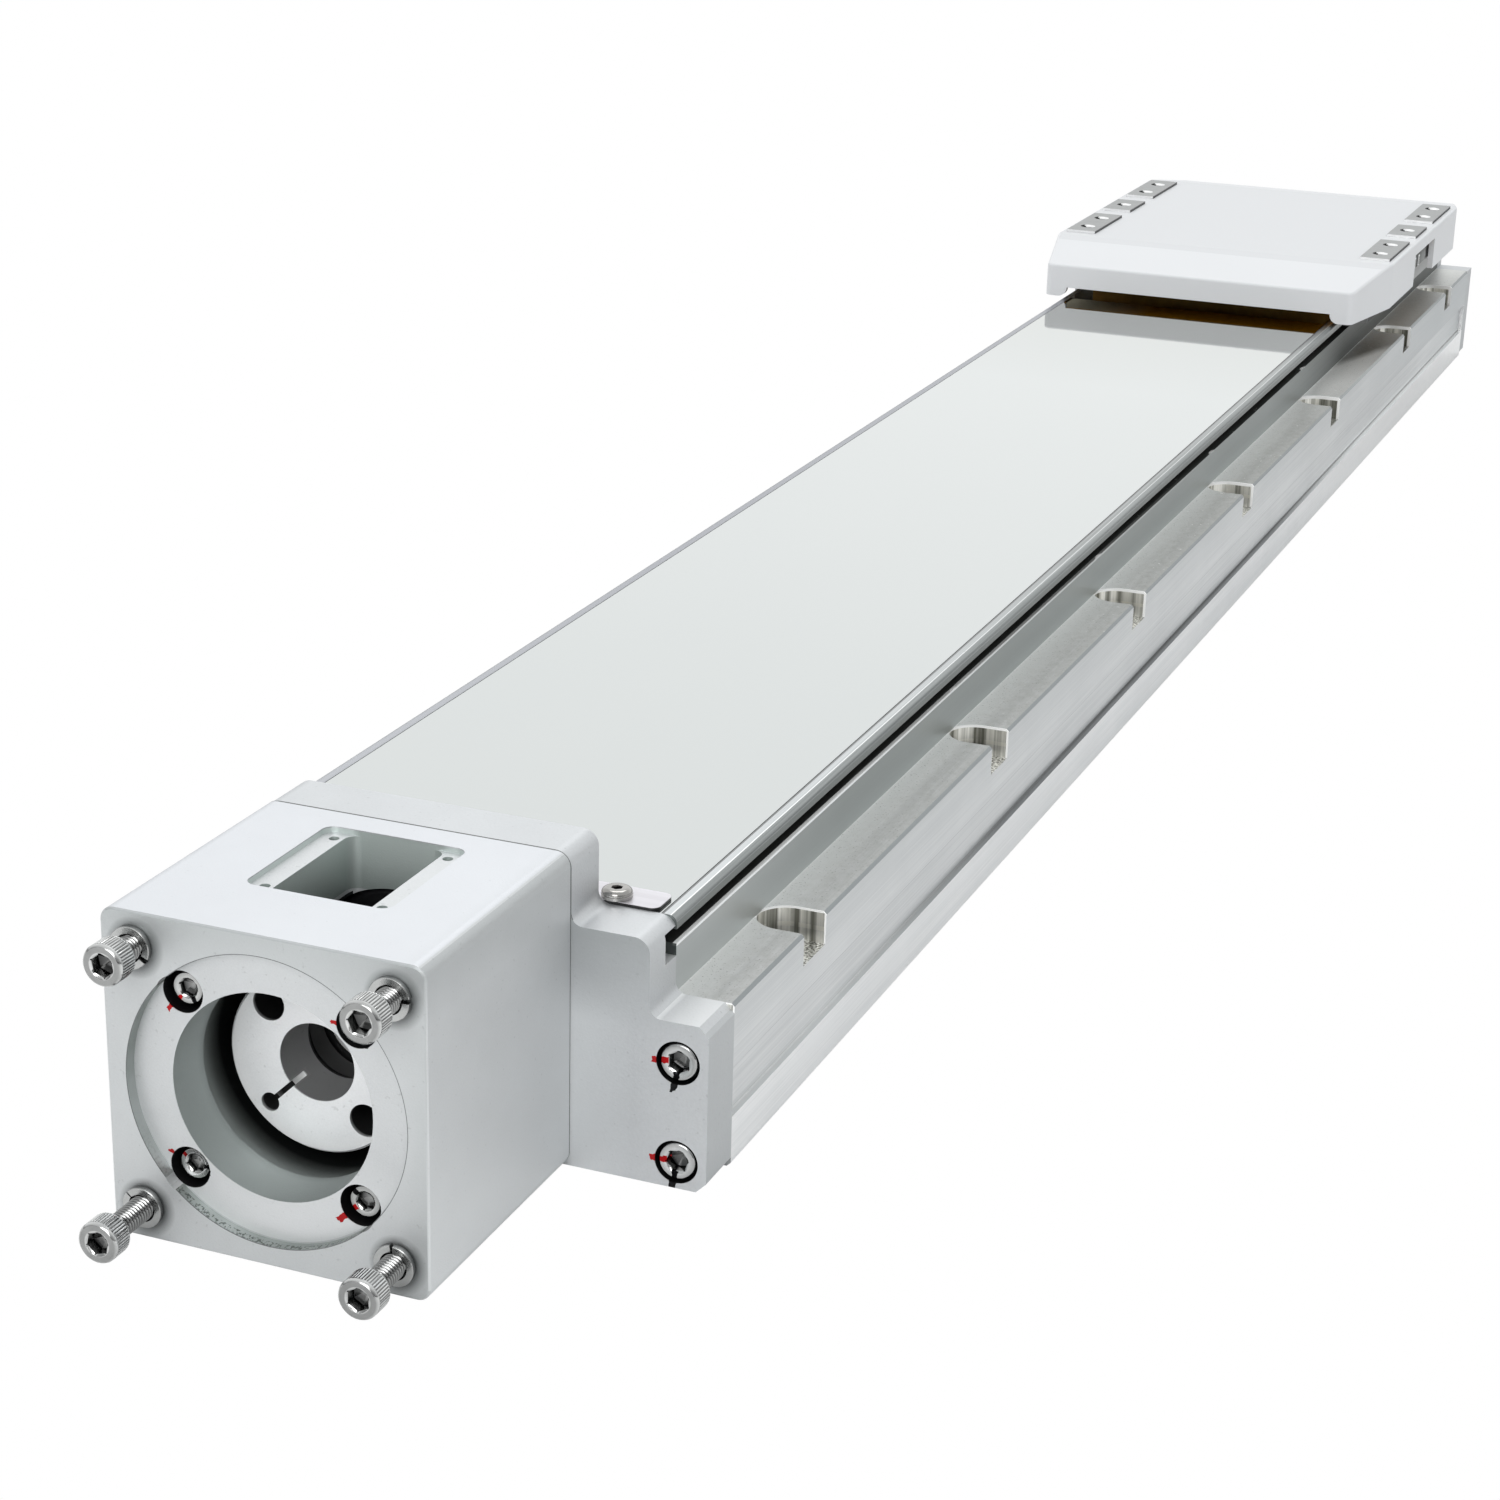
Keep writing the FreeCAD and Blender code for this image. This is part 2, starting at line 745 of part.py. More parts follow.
# Rear end block
REAR_WING = WING[:2] + [("base_half", "flange_top")] + WING[4:]
rear = new_body("rear_end_block", y=BASE1)
sk = new_sketch(rear, "rear_section", "XZ_Plane")
outline(sk, both_sides(REAR_WING))
pad(rear, sk, "rear_depth", reverse=True)
dress(
    rear,
    "Fillet",
    "rear_top_rounds",
    "Radius",
    "shoulder_round",
    lambda b, e: block_corner(b, size_of("wall_half"), size_of("shoulder_top")),
)
sk = new_sketch(rear, "tail_bearing_seat", "XZ_Plane")
ring_outline(sk, "0", "axis_height", "tail_bearing_radius")
pocket(rear, sk, "tail_bearing_width")
screw_seats(rear, "rear", "six_high+0.4", "-rear_depth")
sk = new_sketch(rear, "rear_stop_holes", "XZ_Plane")
for side in ("", "-"):
    ring_outline(sk, side + "stop_x", "stop_z", "four_radius")
pocket(rear, sk, "8")

# Top cover: a flat extrusion between the end blocks; its side edges are the ledges beside the strip
cover = new_body("top_cover", y=BASE0)
sk = new_sketch(cover, "cover_section", "XZ_Plane")
outline(
    sk,
    both_sides(
        [
            ("wall_half", "cover_bottom"),
            ("wall_half", "shoulder_top"),
            ("strip_half+strip_gap", "shoulder_top"),
            ("strip_half+strip_gap", "shoulder_top-strip_thick"),
        ]
    ),
)
pad(cover, sk, "base_length", reverse=True)
dress(
    cover,
    "Fillet",
    "ledge_rounds",
    "Radius",
    "ledge_round",
    lambda b, e: block_corner(b, size_of("wall_half"), size_of("shoulder_top")),
)
sk = new_sketch(cover, "clamp_threads", "XY_Plane", "shoulder_top")
for x in ("clamp_screw_x", "-clamp_screw_x"):
    for y in ("clamp_screw_y", "base_length-clamp_screw_y"):
        ring_outline(sk, x, y, "four_radius")
pocket(cover, sk)

# Cover strip, held down at each end by a clamp plate with two button-head screws
STRIP_BOTTOM = "(shoulder_top-strip_thick)"
STRIP_TOP = "shoulder_top"
CLAMP_TOP = "(shoulder_top+clamp_thick)"
strip = block("2*strip_half", "base_length", "strip_thick", "-strip_half", BASE0, STRIP_BOTTOM)
CLAMP_Y = {"front": BASE0 + "+clamp_screw_y", "rear": BASE1 + "-clamp_screw_y"}
holes = []
for y in CLAMP_Y.values():
    for x in ("clamp_screw_x", "-clamp_screw_x"):
        holes.append(rod("four_radius", "4", x, y, "shoulder_top-1"))
node("cover_strip", cut(strip, holes))
for where, y in CLAMP_Y.items():
    low = BASE0 if where == "front" else BASE1 + "-clamp_length"
    plate = block("2*clamp_half", "clamp_length", "clamp_thick", "-clamp_half", low, STRIP_TOP)
    holes = []
    for x in ("clamp_screw_x", "-clamp_screw_x"):
        holes.append(rod("four_radius", "4", x, y, "shoulder_top-1"))
    node("strip_clamp_" + where, cut(plate, holes))
washers = []
screws = []
for y in CLAMP_Y.values():
    for x in ("clamp_screw_x", "-clamp_screw_x"):
        ring = rod("button_head", "0.9", x, y, CLAMP_TOP)
        washers.append(cut(ring, [rod("four_radius", "2", x, y, CLAMP_TOP + "-0.5")]))
        seat = CLAMP_TOP + "+0.9"
        head = rod("button_head", "button_high", x, y, seat)
        dome = doc.addObject("Part::Fillet", fresh("dome"))
        dome.Base = head
        doc.recompute()
        top = [
            k + 1
            for k, e in enumerate(head.Shape.Edges)
            if e.BoundBox.ZLength < 0.01 and near(e.BoundBox.ZMax, head.Shape.BoundBox.ZMax)
        ]
        dome.Edges = [(k, 1.2, 1.2) for k in top]
        shank = rod("four_radius", "4.6", x, y, seat + "-4.6")
        screws.append(cut(fuse([dome, shank]), [hexagon("1.45", "1.6", x, y, seat + "+button_high-1.5")]))
group("strip_clamp_washers", washers)
group("strip_clamp_screws", screws)

# Screws of the motor end
gaps = {
    (-1, 1): "motor_gap_tl",
    (1, 1): "motor_gap_tr",
    (-1, -1): "motor_gap_bl",
    (1, -1): "motor_gap_br",
}
screws = []
washers = []
for (sx, sz), gap in gaps.items():
    x = "%d*motor_hole_half" % sx
    z = "axis_height+%d*motor_hole_half" % sz
    y = "%s-%s" % (FRONT, gap)
    screws.append(
        bolt("six_head", "six_high", "six_radius", "motor_screw_length", x, y, z, ALONG_Y, "1")
    )
    low = FRONT + "-spring_washer_thick"
    ring = rod("spring_washer_radius", "spring_washer_thick", x, low, z, ALONG_Y)
    washers.append(cut(ring, [rod("six_radius", "4", x, low + "-1", z, ALONG_Y)]))
group("motor_screws", screws)
group("motor_spring_washers", washers)
screws = []
for sx in (1, -1):
    for sz in (1, -1):
        x = "%d*housing_screw_half" % sx
        z = "axis_height+%d*housing_screw_half" % sz
        y = FRONT + "+pilot_depth+five_high+seat_gap"
        screws.append(
            bolt("five_head", "five_high", "five_radius", "housing_screw_length-5", x, y, z, ALONG_Y, "1")
        )
group("housing_screws", screws)

for where, y, turn, sign in (
    ("front", BLOCK + "+six_high+0.4", ALONG_Y, "1"),
    ("rear", BASE1 + "+rear_depth-six_high-0.4", AGAINST_Y, "-1"),
):
    screws = []
    for sx in (1, -1):
        for z in ("flange_screw_low", "flange_screw_low+flange_screw_rise"):
            x = "%d*flange_screw_x" % sx
            screws.append(
                bolt("six_head", "six_high", "six_radius", "flange_screw_length", x, y, z, turn, sign)
            )
    group("end_block_screws_" + where, screws)

# Guide rails and their screws
RAIL_TOP = "(floor_top+rail_high)"
SEAT = "(floor_top+rail_high-four_high-0.3)"
for label, sx in (("rail_left", "-1"), ("rail_right", "1")):
    rail = new_body(label, x=sx + "*rail_x", y=BASE0 + "+6")
    sk = new_sketch(rail, label + "_section", "XZ_Plane")
    outline(
        sk,
        [
            ("rail_half", "floor_top"),
            ("rail_half", "floor_top+rail_high*0.45"),
            ("rail_half-rail_waist", "floor_top+rail_high*0.55"),
            ("rail_half-rail_waist", "floor_top+rail_high*0.72"),
            ("rail_half", "floor_top+rail_high*0.82"),
            ("rail_half", RAIL_TOP),
            ("-rail_half", RAIL_TOP),
            ("-rail_half", "floor_top+rail_high*0.82"),
            ("-(rail_half-rail_waist)", "floor_top+rail_high*0.72"),
            ("-(rail_half-rail_waist)", "floor_top+rail_high*0.55"),
            ("-rail_half", "floor_top+rail_high*0.45"),
            ("-rail_half", "floor_top"),
        ],
    )
    pad(rail, sk, "base_length-12", reverse=True)
    sk = new_sketch(rail, label + "_holes", "XY_Plane", RAIL_TOP)
    for y in RAIL_SCREWS:
        ring_outline(sk, "0", y + "-6", "four_radius")
    pocket(rail, sk)
    sk = new_sketch(rail, label + "_seats", "XY_Plane", RAIL_TOP)
    for y in RAIL_SCREWS:
        ring_outline(sk, "0", y + "-6", "four_head+0.25")
    pocket(rail, sk, "four_high+0.3")
screws = []
for sx in (1, -1):
    for y in RAIL_SCREWS:
        spot = ("%d*rail_x" % sx, BASE0 + "+" + y, SEAT)
        head = rod("four_head", "four_high", *spot)
        length = "rail_high-four_high-0.3+floor_top-3"
        shank = rod("four_radius", length, spot[0], spot[1], SEAT + "-(%s)" % length)
        screws.append(fuse([head, shank]))
group("rail_screws", screws)

# Bearing cartridge in the drive end block, with two bearings, a retaining ring and a lock nut
# Each turned piece is a half section revolved about the screw axis.


def turned(label, y, half):
    """A piece revolved about the screw axis from (radius, distance along Y) points."""
    body = new_body(label, y=y, z="axis_height")
    sk = new_sketch(body, label + "_section", "XY_Plane")
    outline(sk, half)
    feature = body.newObject("PartDesign::Revolution", label + "_turned")
    feature.Profile = sk
    feature.ReferenceAxis = (sk, ["V_Axis"])
    feature.Angle = 360.0
    solid_of(body)
    return body


cartridge = turned(
    "bearing_cartridge",
    BLOCK,
    [
        ("seal_hole", "-cartridge_flange_thick"),
        ("cartridge_flange-1", "-cartridge_flange_thick"),
        ("cartridge_flange", "1-cartridge_flange_thick"),
        ("cartridge_flange", "0"),
        ("cartridge_radius", "0"),
        ("cartridge_radius", "block_depth"),
        ("bearing_radius", "block_depth"),
        ("bearing_radius", "cartridge_lip-cartridge_flange_thick"),
        ("seal_hole", "cartridge_lip-cartridge_flange_thick"),
    ],
)


def bearing(label, y, width, bore, split, radius):
    """An outer ring with its seals, and the inner ring that runs in it."""
    turned(
        label + "_outer",
        y,
        [(split, "0.4"), (radius, "0"), (radius, width), (split, width + "-0.4")],
    )
    turned(
        label + "_inner",
        y,
        [
            (bore, "0"),
            (split + "-run_clear", "0"),
            (split + "-run_clear", width),
            (bore, width),
        ],
    )


bearing("front_bearing", BEARINGS, "bearing_width", "screw_journal", "bearing_split", "bearing_radius")
bearing(
    "second_bearing",
    BEARINGS + "+bearing_width",
    "bearing_width",
    "screw_journal",
    "bearing_split",
    "bearing_radius",
)
bearing(
    "tail_bearing",
    BASE1,
    "tail_bearing_width",
    "tail_journal",
    "tail_bearing_split",
    "tail_bearing_radius",
)
SCREW0 = "(%s+2*bearing_width)" % BEARINGS
turned(
    "bearing_retainer",
    SCREW0,
    [
        ("seal_hole", "0"),
        ("bearing_radius", "0"),
        ("bearing_radius", "%s-%s" % (BASE0, SCREW0)),
        ("seal_hole", "%s-%s" % (BASE0, SCREW0)),
    ],
)
NUT0 = "(%s+coupling_start+2*hub_length+2*disc_gap+centre_length+0.4)" % FRONT
turned(
    "lock_nut",
    NUT0,
    [
        ("screw_journal", "0"),
        ("locknut_radius", "0"),
        ("locknut_radius", "%s-%s" % (BEARINGS, NUT0)),
        ("screw_journal", "%s-%s" % (BEARINGS, NUT0)),
    ],
)

# Ball screw: coupling seat, bearing journal, threaded run and tail journal
HUB1 = "(%s+coupling_start+hub_length+2*disc_gap+centre_length)" % FRONT
turned(
    "ball_screw",
    "0",
    [
        ("0", HUB1 + "+0.5"),
        ("screw_seat", HUB1 + "+0.5"),
        ("screw_seat", NUT0 + "-0.2"),
        ("screw_journal", NUT0 + "-0.2"),
        ("screw_journal", SCREW0),
        ("screw_radius", SCREW0),
        ("screw_radius", BASE1 + "-4"),
        ("tail_journal+1", BASE1 + "-4"),
        ("tail_journal+1", BASE1),
        ("tail_journal", BASE1),
        ("tail_journal", BASE1 + "+tail_bearing_width-0.5"),
        ("0", BASE1 + "+tail_bearing_width-0.5"),
    ],
)

# Coupling: two clamp hubs, a middle ring, and a thin steel disc each side of it
DIAG = math.sqrt(0.5)


def on_ring(radius, angle):
    """A point of a ring about the screw axis, as bound x and z from that axis."""
    a = math.radians(angle)
    return "%s*(%.6f)" % (radius, math.cos(a)), "%s*(%.6f)" % (radius, math.sin(a))


def coupling_piece(label, start, length, bore, wide_holes, tapped):
    """A round coupling piece with two wide holes and two tapped ones."""
    body = new_body(label, y=start, z="axis_height")
    sk = new_sketch(body, label + "_face", "XZ_Plane")
    ring_outline(sk, "0", "0", "hub_radius")
    ring_outline(sk, "0", "0", bore)
    for angle in wide_holes:
        x, z = on_ring("hub_hole_ring", angle)
        ring_outline(sk, x, z, "hub_hole")
    pad(body, sk, length, reverse=True)
    return body


def clamp_slit(body, stem, bore, front):
    """The hub's slit and its relief hole, cut from the outer end."""
    sk = new_sketch(body, stem + "_slit", "XZ_Plane", None if front else "-hub_length")
    a = "slit_width*%.6f" % (DIAG / 2)
    r0 = "%s*%.6f*0.9" % (bore, DIAG)
    r1 = "slit_hole_ring*%.6f" % DIAG
    outline(
        sk,
        [
            ("-%s-%s" % (r0, a), "-%s+%s" % (r0, a)),
            ("-%s+%s" % (r0, a), "-%s-%s" % (r0, a)),
            ("-%s+%s" % (r1, a), "-%s-%s" % (r1, a)),
            ("-%s-%s" % (r1, a), "-%s+%s" % (r1, a)),
        ],
    )
    pocket(body, sk, "slit_deep", reverse=not front)
    sk = new_sketch(body, stem + "_relief", "XZ_Plane", None if front else "-hub_length")
    x, z = on_ring("slit_hole_ring", 225)
    ring_outline(sk, x, z, "slit_hole")
    pocket(body, sk, "slit_deep", reverse=not front)


DISC0 = "(%s+coupling_start+hub_length)" % FRONT
MID0 = "(%s+disc_gap)" % DISC0
DISC1 = "(%s+centre_length)" % MID0
hub = coupling_piece(
    "coupling_hub_motor", FRONT + "+coupling_start", "hub_length", "hub_bore", (135, 315), (45, 225)
)
clamp_slit(hub, "motor_hub", "hub_bore", True)
sk = new_sketch(hub, "motor_hub_taps", "XZ_Plane", "-hub_length")
for angle in (45, 225):
    x, z = on_ring("hub_hole_ring", angle)
    ring_outline(sk, x, z, "four_radius")
pocket(hub, sk, "3.4", reverse=True)
dress(
    hub,
    "Chamfer",
    "motor_hub_edge",
    "Size",
    "0.5",
    lambda b, e: near(b.XLength, 2 * size_of("hub_radius")),
)
middle = coupling_piece("coupling_centre", MID0, "centre_length", "hub_bore+1", (45, 225), (135, 315))
sk = new_sketch(middle, "centre_taps", "XZ_Plane")
for angle in (135, 315):
    x, z = on_ring("hub_hole_ring", angle)
    ring_outline(sk, x, z, "four_radius")
pocket(middle, sk)
back = coupling_piece("coupling_hub_screw", HUB1, "hub_length", "screw_seat", (135, 315), (45, 225))
clamp_slit(back, "screw_hub", "screw_seat", False)
sk = new_sketch(back, "screw_hub_taps", "XZ_Plane")
for angle in (45, 225):
    x, z = on_ring("hub_hole_ring", angle)
    ring_outline(sk, x, z, "four_radius")
pocket(back, sk, "3.4")

STEP = "(disc_gap-disc_thick)/2"
spacers = []
bolts = []
for number, gap in enumerate((DISC0, DISC1)):
    label = ("coupling_disc_front", "coupling_disc_rear")[number]
    body = new_body(label, y=gap + "+" + STEP, z="axis_height")
    sk = new_sketch(body, label + "_face", "XZ_Plane")
    ring_outline(sk, "0", "0", "hub_radius-0.6")
    ring_outline(sk, "0", "0", "disc_inner")
    for angle in (45, 135, 225, 315):
        x, z = on_ring("hub_hole_ring", angle)
        ring_outline(sk, x, z, "four_radius")
    pad(body, sk, "disc_thick", reverse=True)
    for angle in (45, 135, 225, 315):
        x, z = on_ring("hub_hole_ring", angle)
        z = "axis_height+" + z
        to_centre = angle in (135, 315)
        forward = to_centre == (number == 0)
        spacer_y = gap + "+" + STEP + "+disc_thick" if forward else gap
        ring = rod("four_head", STEP, x, spacer_y, z, ALONG_Y)
        spacers.append(cut(ring, [rod("four_radius", "4", x, spacer_y + "-1", z, ALONG_Y)]))
        seat = gap + "+" + STEP if forward else gap + "+" + STEP + "+disc_thick"
        bolts.append(
            bolt(
                "four_head",
                "2.4",
                "four_radius",
                "3+disc_thick+" + STEP if not to_centre else "2.4+disc_thick+" + STEP,
                x,
                seat,
                z,
                ALONG_Y if forward else AGAINST_Y,
                "1" if forward else "-1",
            )
        )
group("coupling_spacers", spacers)
group("coupling_bolts", bolts)

# Rubber stops at both ends of the travel
for label, y, turn in (
    ("stops_front", BASE0, ALONG_Y),
    ("stops_rear", BASE1, AGAINST_Y),
):
    sign = "-" if turn is ALONG_Y else "+"
    stops = []
    for sx in (1, -1):
        x = "%d*stop_x" % sx
        pad_part = rod("stop_radius", "stop_length", x, y, "stop_z", turn)
        stem_part = rod("four_radius", "8", x, y + sign + "7.5", "stop_z", turn)
        stops.append(fuse([pad_part, stem_part]))
    group(label, stops)

# Moving parts, at the carriage's rest place

# Guide blocks straddle the rails with running clearance.
for label, sx, sy in (
    ("guide_block_front_left", "-1", "-1"),
    ("guide_block_front_right", "1", "-1"),
    ("guide_block_rear_left", "-1", "1"),
    ("guide_block_rear_right", "1", "1"),
):
    y = "carriage_rest+%s*guide_spread-guide_length/2" % sy
    body = new_body(label, x=sx + "*rail_x", y=y)
    sk = new_sketch(body, label + "_section", "XZ_Plane")
    outline(
        sk,
        both_sides(
            [
                ("guide_half", "guide_top"),
                ("guide_half", "guide_low+3"),
                ("guide_half-2", "guide_low"),
                ("rail_half+guide_clear", "guide_low"),
                ("rail_half+guide_clear", "floor_top+rail_high+guide_clear"),
            ]
        ),
    )
    pad(body, sk, "guide_length", reverse=True)

# Inner slider: a plate on the guide blocks, a boss for the nut, and wings out through the side slots
slider = new_body("inner_slider", y="carriage_rest-slider_half_length")
sk = new_sketch(slider, "slider_section", "XZ_Plane")
outline(
    sk,
    both_sides(
        [
            ("boss_half", "boss_low"),
            ("boss_half", "guide_top"),
            ("slider_half", "guide_top"),
            ("slider_half", "wing_low"),
            ("cheek_outer", "wing_low"),
            ("cheek_outer", "wing_high"),
        ]
    ),
)
pad(slider, sk, "2*slider_half_length", reverse=True)
# The wings are as long as the table's cheeks.
sk = new_sketch(slider, "wing_trims", "XY_Plane", "wing_high")
for side in ("", "-"):
    for y0, y1 in (
        ("-1", "slider_half_length-table_half_length"),
        ("slider_half_length+table_half_length", "2*slider_half_length+1"),
    ):
        box_outline(sk, side + "slider_half", side + "(cheek_outer+1)", y0, y1)
pocket(slider, sk)
sk = new_sketch(slider, "nut_bore", "XZ_Plane")
ring_outline(sk, "0", "axis_height", "nut_radius")
pocket(slider, sk, "nut_length")
sk = new_sketch(slider, "screw_way", "XZ_Plane")
ring_outline(sk, "0", "axis_height", "screw_radius+2")
pocket(slider, sk)
sk = new_sketch(slider, "nut_screw_threads", "XZ_Plane")
NUT_SCREWS = [("15.5", "11"), ("-15.5", "11"), ("15.5", "-11"), ("-15.5", "-11")]
for x, z in NUT_SCREWS:
    ring_outline(sk, x, "axis_height+" + z, "four_radius")
pocket(slider, sk, "8")
WING_SCREWS = []
for x in ("wing_screw_x", "-wing_screw_x"):
    for y in ("wing_screw_near", "-wing_screw_near", "wing_screw_far", "-wing_screw_far"):
        WING_SCREWS.append((x, y))
sk = new_sketch(slider, "wing_holes", "XY_Plane", "wing_high")
for x, y in WING_SCREWS:
    ring_outline(sk, x, "slider_half_length+" + y, "three_radius")
pocket(slider, sk, "wing_high-wing_low")
dress(
    slider,
    "Chamfer",
    "wing_countersinks",
    "Size",
    "countersink",
    lambda b, e: near(b.ZMax, size_of("wing_low")) and near(b.XLength, 2 * size_of("three_radius")),
)

# Ball nut with a flatted flange on the slider's front end
NUT_Y = "(carriage_rest-slider_half_length)"
nut = turned(
    "ball_nut",
    NUT_Y,
    [
        ("screw_radius+run_clear", "-nut_flange_thick"),
        ("nut_flange", "-nut_flange_thick"),
        ("nut_flange", "0"),
        ("nut_radius", "0"),
        ("nut_radius", "nut_length"),
        ("screw_radius+run_clear", "nut_length"),
    ],
)
sk = new_sketch(nut, "nut_flats", "XZ_Plane", "nut_flange_thick+1")
box_outline(sk, "-nut_flange-1", "nut_flange+1", "nut_flat", "nut_flange+1")
box_outline(sk, "-nut_flange-1", "nut_flange+1", "-nut_flange-1", "-nut_flat")
pocket(nut, sk, "nut_flange_thick+1")
sk = new_sketch(nut, "nut_holes", "XZ_Plane", "nut_flange_thick")
for x, z in NUT_SCREWS:
    ring_outline(sk, x, z, "four_radius")
pocket(nut, sk)
screws = []
for x, z in NUT_SCREWS:
    spot = (x, NUT_Y + "-nut_flange_thick", "axis_height+" + z)
    screws.append(
        bolt("four_head", "four_high", "four_radius", "nut_flange_thick+7", *spot, ALONG_Y, "1")
    )
group("nut_screws", screws)

# Table: a plate over the strip, cheeks down to the wings and six raised pads with threaded holes
table = new_body("carriage_table", y="carriage_rest-table_half_length")
sk = new_sketch(table, "table_section", "XZ_Plane")
outline(
    sk,
    both_sides(
        [
            ("cheek_inner", "table_bottom"),
            ("cheek_inner", "wing_high"),
            ("cheek_outer", "wing_high"),
            ("cheek_outer", "table_bottom"),
            ("pad_outer-table_side_gap", "table_bottom"),
            ("pad_outer-table_side_gap", COVER_IN),
        ]
    ),
)
pad(table, sk, "2*table_half_length", reverse=True)
sk = new_sketch(table, "table_pads", "XY_Plane", COVER_IN)
PADS = [("-pad_far", "-pad_near"), ("-pad_mid", "pad_mid"), ("pad_near", "pad_far")]
for y0, y1 in PADS:
    y0 = "table_half_length+" + y0
    y1 = "table_half_length+" + y1
    box_outline(sk, "pad_inner", "pad_outer", y0, y1)
    box_outline(sk, "-pad_outer", "-pad_inner", y0, y1)
pad(table, sk, "pad_top-(%s)" % COVER_IN)
sk = new_sketch(table, "pad_threads", "XY_Plane", "pad_top")
for x in ("pad_hole_x", "-pad_hole_x"):
    for y in ("-pad_hole_far", "-pad_hole_near", "0", "pad_hole_near", "pad_hole_far"):
        ring_outline(sk, x, "table_half_length+(%s)" % y, "pad_thread")
pocket(table, sk, "12")
dress(
    table,
    "Chamfer",
    "pad_hole_edges",
    "Size",
    "0.8",
    lambda b, e: near(b.ZMin, size_of("pad_top")) and near(b.XLength, 2 * size_of("pad_thread")),
)
# Two small upright slots in each side, seen through the cover's side openings
for label, offset, back in (("right", "pad_outer+1", False), ("left", "-pad_outer-1", True)):
    sk = new_sketch(table, "side_slots_" + label, "YZ_Plane", offset)
    for y in ("side_slot_near", "side_slot_near+side_slot_pitch"):
        middle = "table_half_length+(%s)" % y
        low, high = "%s-side_slot_half" % middle, "%s+side_slot_half" % middle
        box_outline(sk, low, high, "side_slot_low", "side_slot_high")
    pocket(table, sk, "1+table_side_gap+side_slot_deep", reverse=back)
dress(
    table,
    "Fillet",
    "side_slot_ends",
    "Radius",
    "side_slot_half-0.1",
    lambda b, e: b.XLength > 1
    and b.YLength < 0.01
    and b.ZLength < 0.01
    and size_of("side_slot_low") - 0.01 < b.Center.z < size_of("side_slot_high") + 0.01
    and b.XLength < size_of("side_slot_deep") + 0.1,
)
sk = new_sketch(table, "cheek_threads", "XY_Plane", "wing_high")
for x, y in WING_SCREWS:
    ring_outline(sk, x, "table_half_length+" + y, "three_radius")
pocket(table, sk, "8.5", reverse=True)
screws = []
for x, y in WING_SCREWS:
    head = doc.addObject("Part::Cone", fresh("countersunk_head"))
    bind(head, "Radius1", "three_radius+countersink")
    bind(head, "Radius2", "three_radius")
    bind(head, "Height", "countersink")
    place(head, x, "carriage_rest+" + y, "wing_low")
    shank = rod("three_radius", "wing_high-wing_low+8", x, "carriage_rest+" + y, "wing_low")
    socket = hexagon("1.1", "1.3", x, "carriage_rest+" + y, "wing_low")
    screws.append(cut(fuse([head, shank]), [socket]))
group("wing_screws", screws)

# Carriage cover: a moulded shell with sloped ends and cut plan corners
# The outside is the long side profile run across, its four corners cut away, then hollowed from below
# to an even wall. Windows in its top pass the table's pads.
shell = new_body("carriage_cover", y="carriage_rest")
sk = new_sketch(shell, "shell_profile", "YZ_Plane")
outline(
    sk,
    [
        ("-carriage_half_length", "skirt_bottom"),
        ("carriage_half_length", "skirt_bottom"),
        ("carriage_half_length", "nose_top"),
        ("carriage_half_length-bevel_run", "carriage_top"),
        ("-(carriage_half_length-bevel_run)", "carriage_top"),
        ("-carriage_half_length", "nose_top"),
    ],
)
pad(shell, sk, "2*base_half", middle=True)
sk = new_sketch(shell, "shell_corners", "XY_Plane", "carriage_top+1")
for sx in ("", "-"):
    for sy in ("", "-"):
        outline(
            sk,
            [
                (sx + "nose_half", sy + "carriage_half_length"),
                (sx + "nose_half", sy + "(carriage_half_length+1)"),
                (sx + "(base_half+1)", sy + "(carriage_half_length+1)"),
                (sx + "(base_half+1)", sy + "(carriage_half_length-corner_run)"),
                (sx + "base_half", sy + "(carriage_half_length-corner_run)"),
            ],
        )
pocket(shell, sk)
dress(
    shell,
    "Fillet",
    "shell_rounds",
    "Radius",
    "corner_round",
    lambda b, e: b.ZLength > 5
    and b.XLength < 0.1
    and b.YLength < 0.1
    and near(abs(b.Center.x), size_of("nose_half")),
)
dress(
    shell,
    "Fillet",
    "shell_soft_edges",
    "Radius",
    "shell_soft",
    lambda b, e: b.ZMin > size_of("nose_top") - 0.1,
)
# The hollow follows the plan below the nose, the bevel in the middle, and the table's place in full.
SHELL_END = "(carriage_half_length-cover_wall)"
sk = new_sketch(shell, "plan_hollow", "XY_Plane", "skirt_bottom")
plan = [
    ("base_half-cover_wall", "-(carriage_half_length-corner_run)"),
    ("base_half-cover_wall", "carriage_half_length-corner_run"),
    ("nose_half-cover_wall", SHELL_END),
    ("-(nose_half-cover_wall)", SHELL_END),
    ("-(base_half-cover_wall)", "carriage_half_length-corner_run"),
    ("-(base_half-cover_wall)", "-(carriage_half_length-corner_run)"),
    ("-(nose_half-cover_wall)", "-" + SHELL_END),
    ("nose_half-cover_wall", "-" + SHELL_END),
]
outline(sk, plan)
pocket(shell, sk, "nose_top-cover_wall-skirt_bottom", reverse=True)
sk = new_sketch(shell, "bevel_hollow", "YZ_Plane")
outline(
    sk,
    [
        ("-" + SHELL_END, "skirt_bottom"),
        (SHELL_END, "skirt_bottom"),
        (SHELL_END, "nose_top-cover_wall"),
        ("carriage_half_length-bevel_run", COVER_IN),
        ("-(carriage_half_length-bevel_run)", COVER_IN),
        ("-" + SHELL_END, "nose_top-cover_wall"),
    ],
)
pocket(shell, sk, "2*(nose_half-cover_wall)", both=True)
sk = new_sketch(shell, "table_hollow", "XY_Plane", "skirt_bottom")
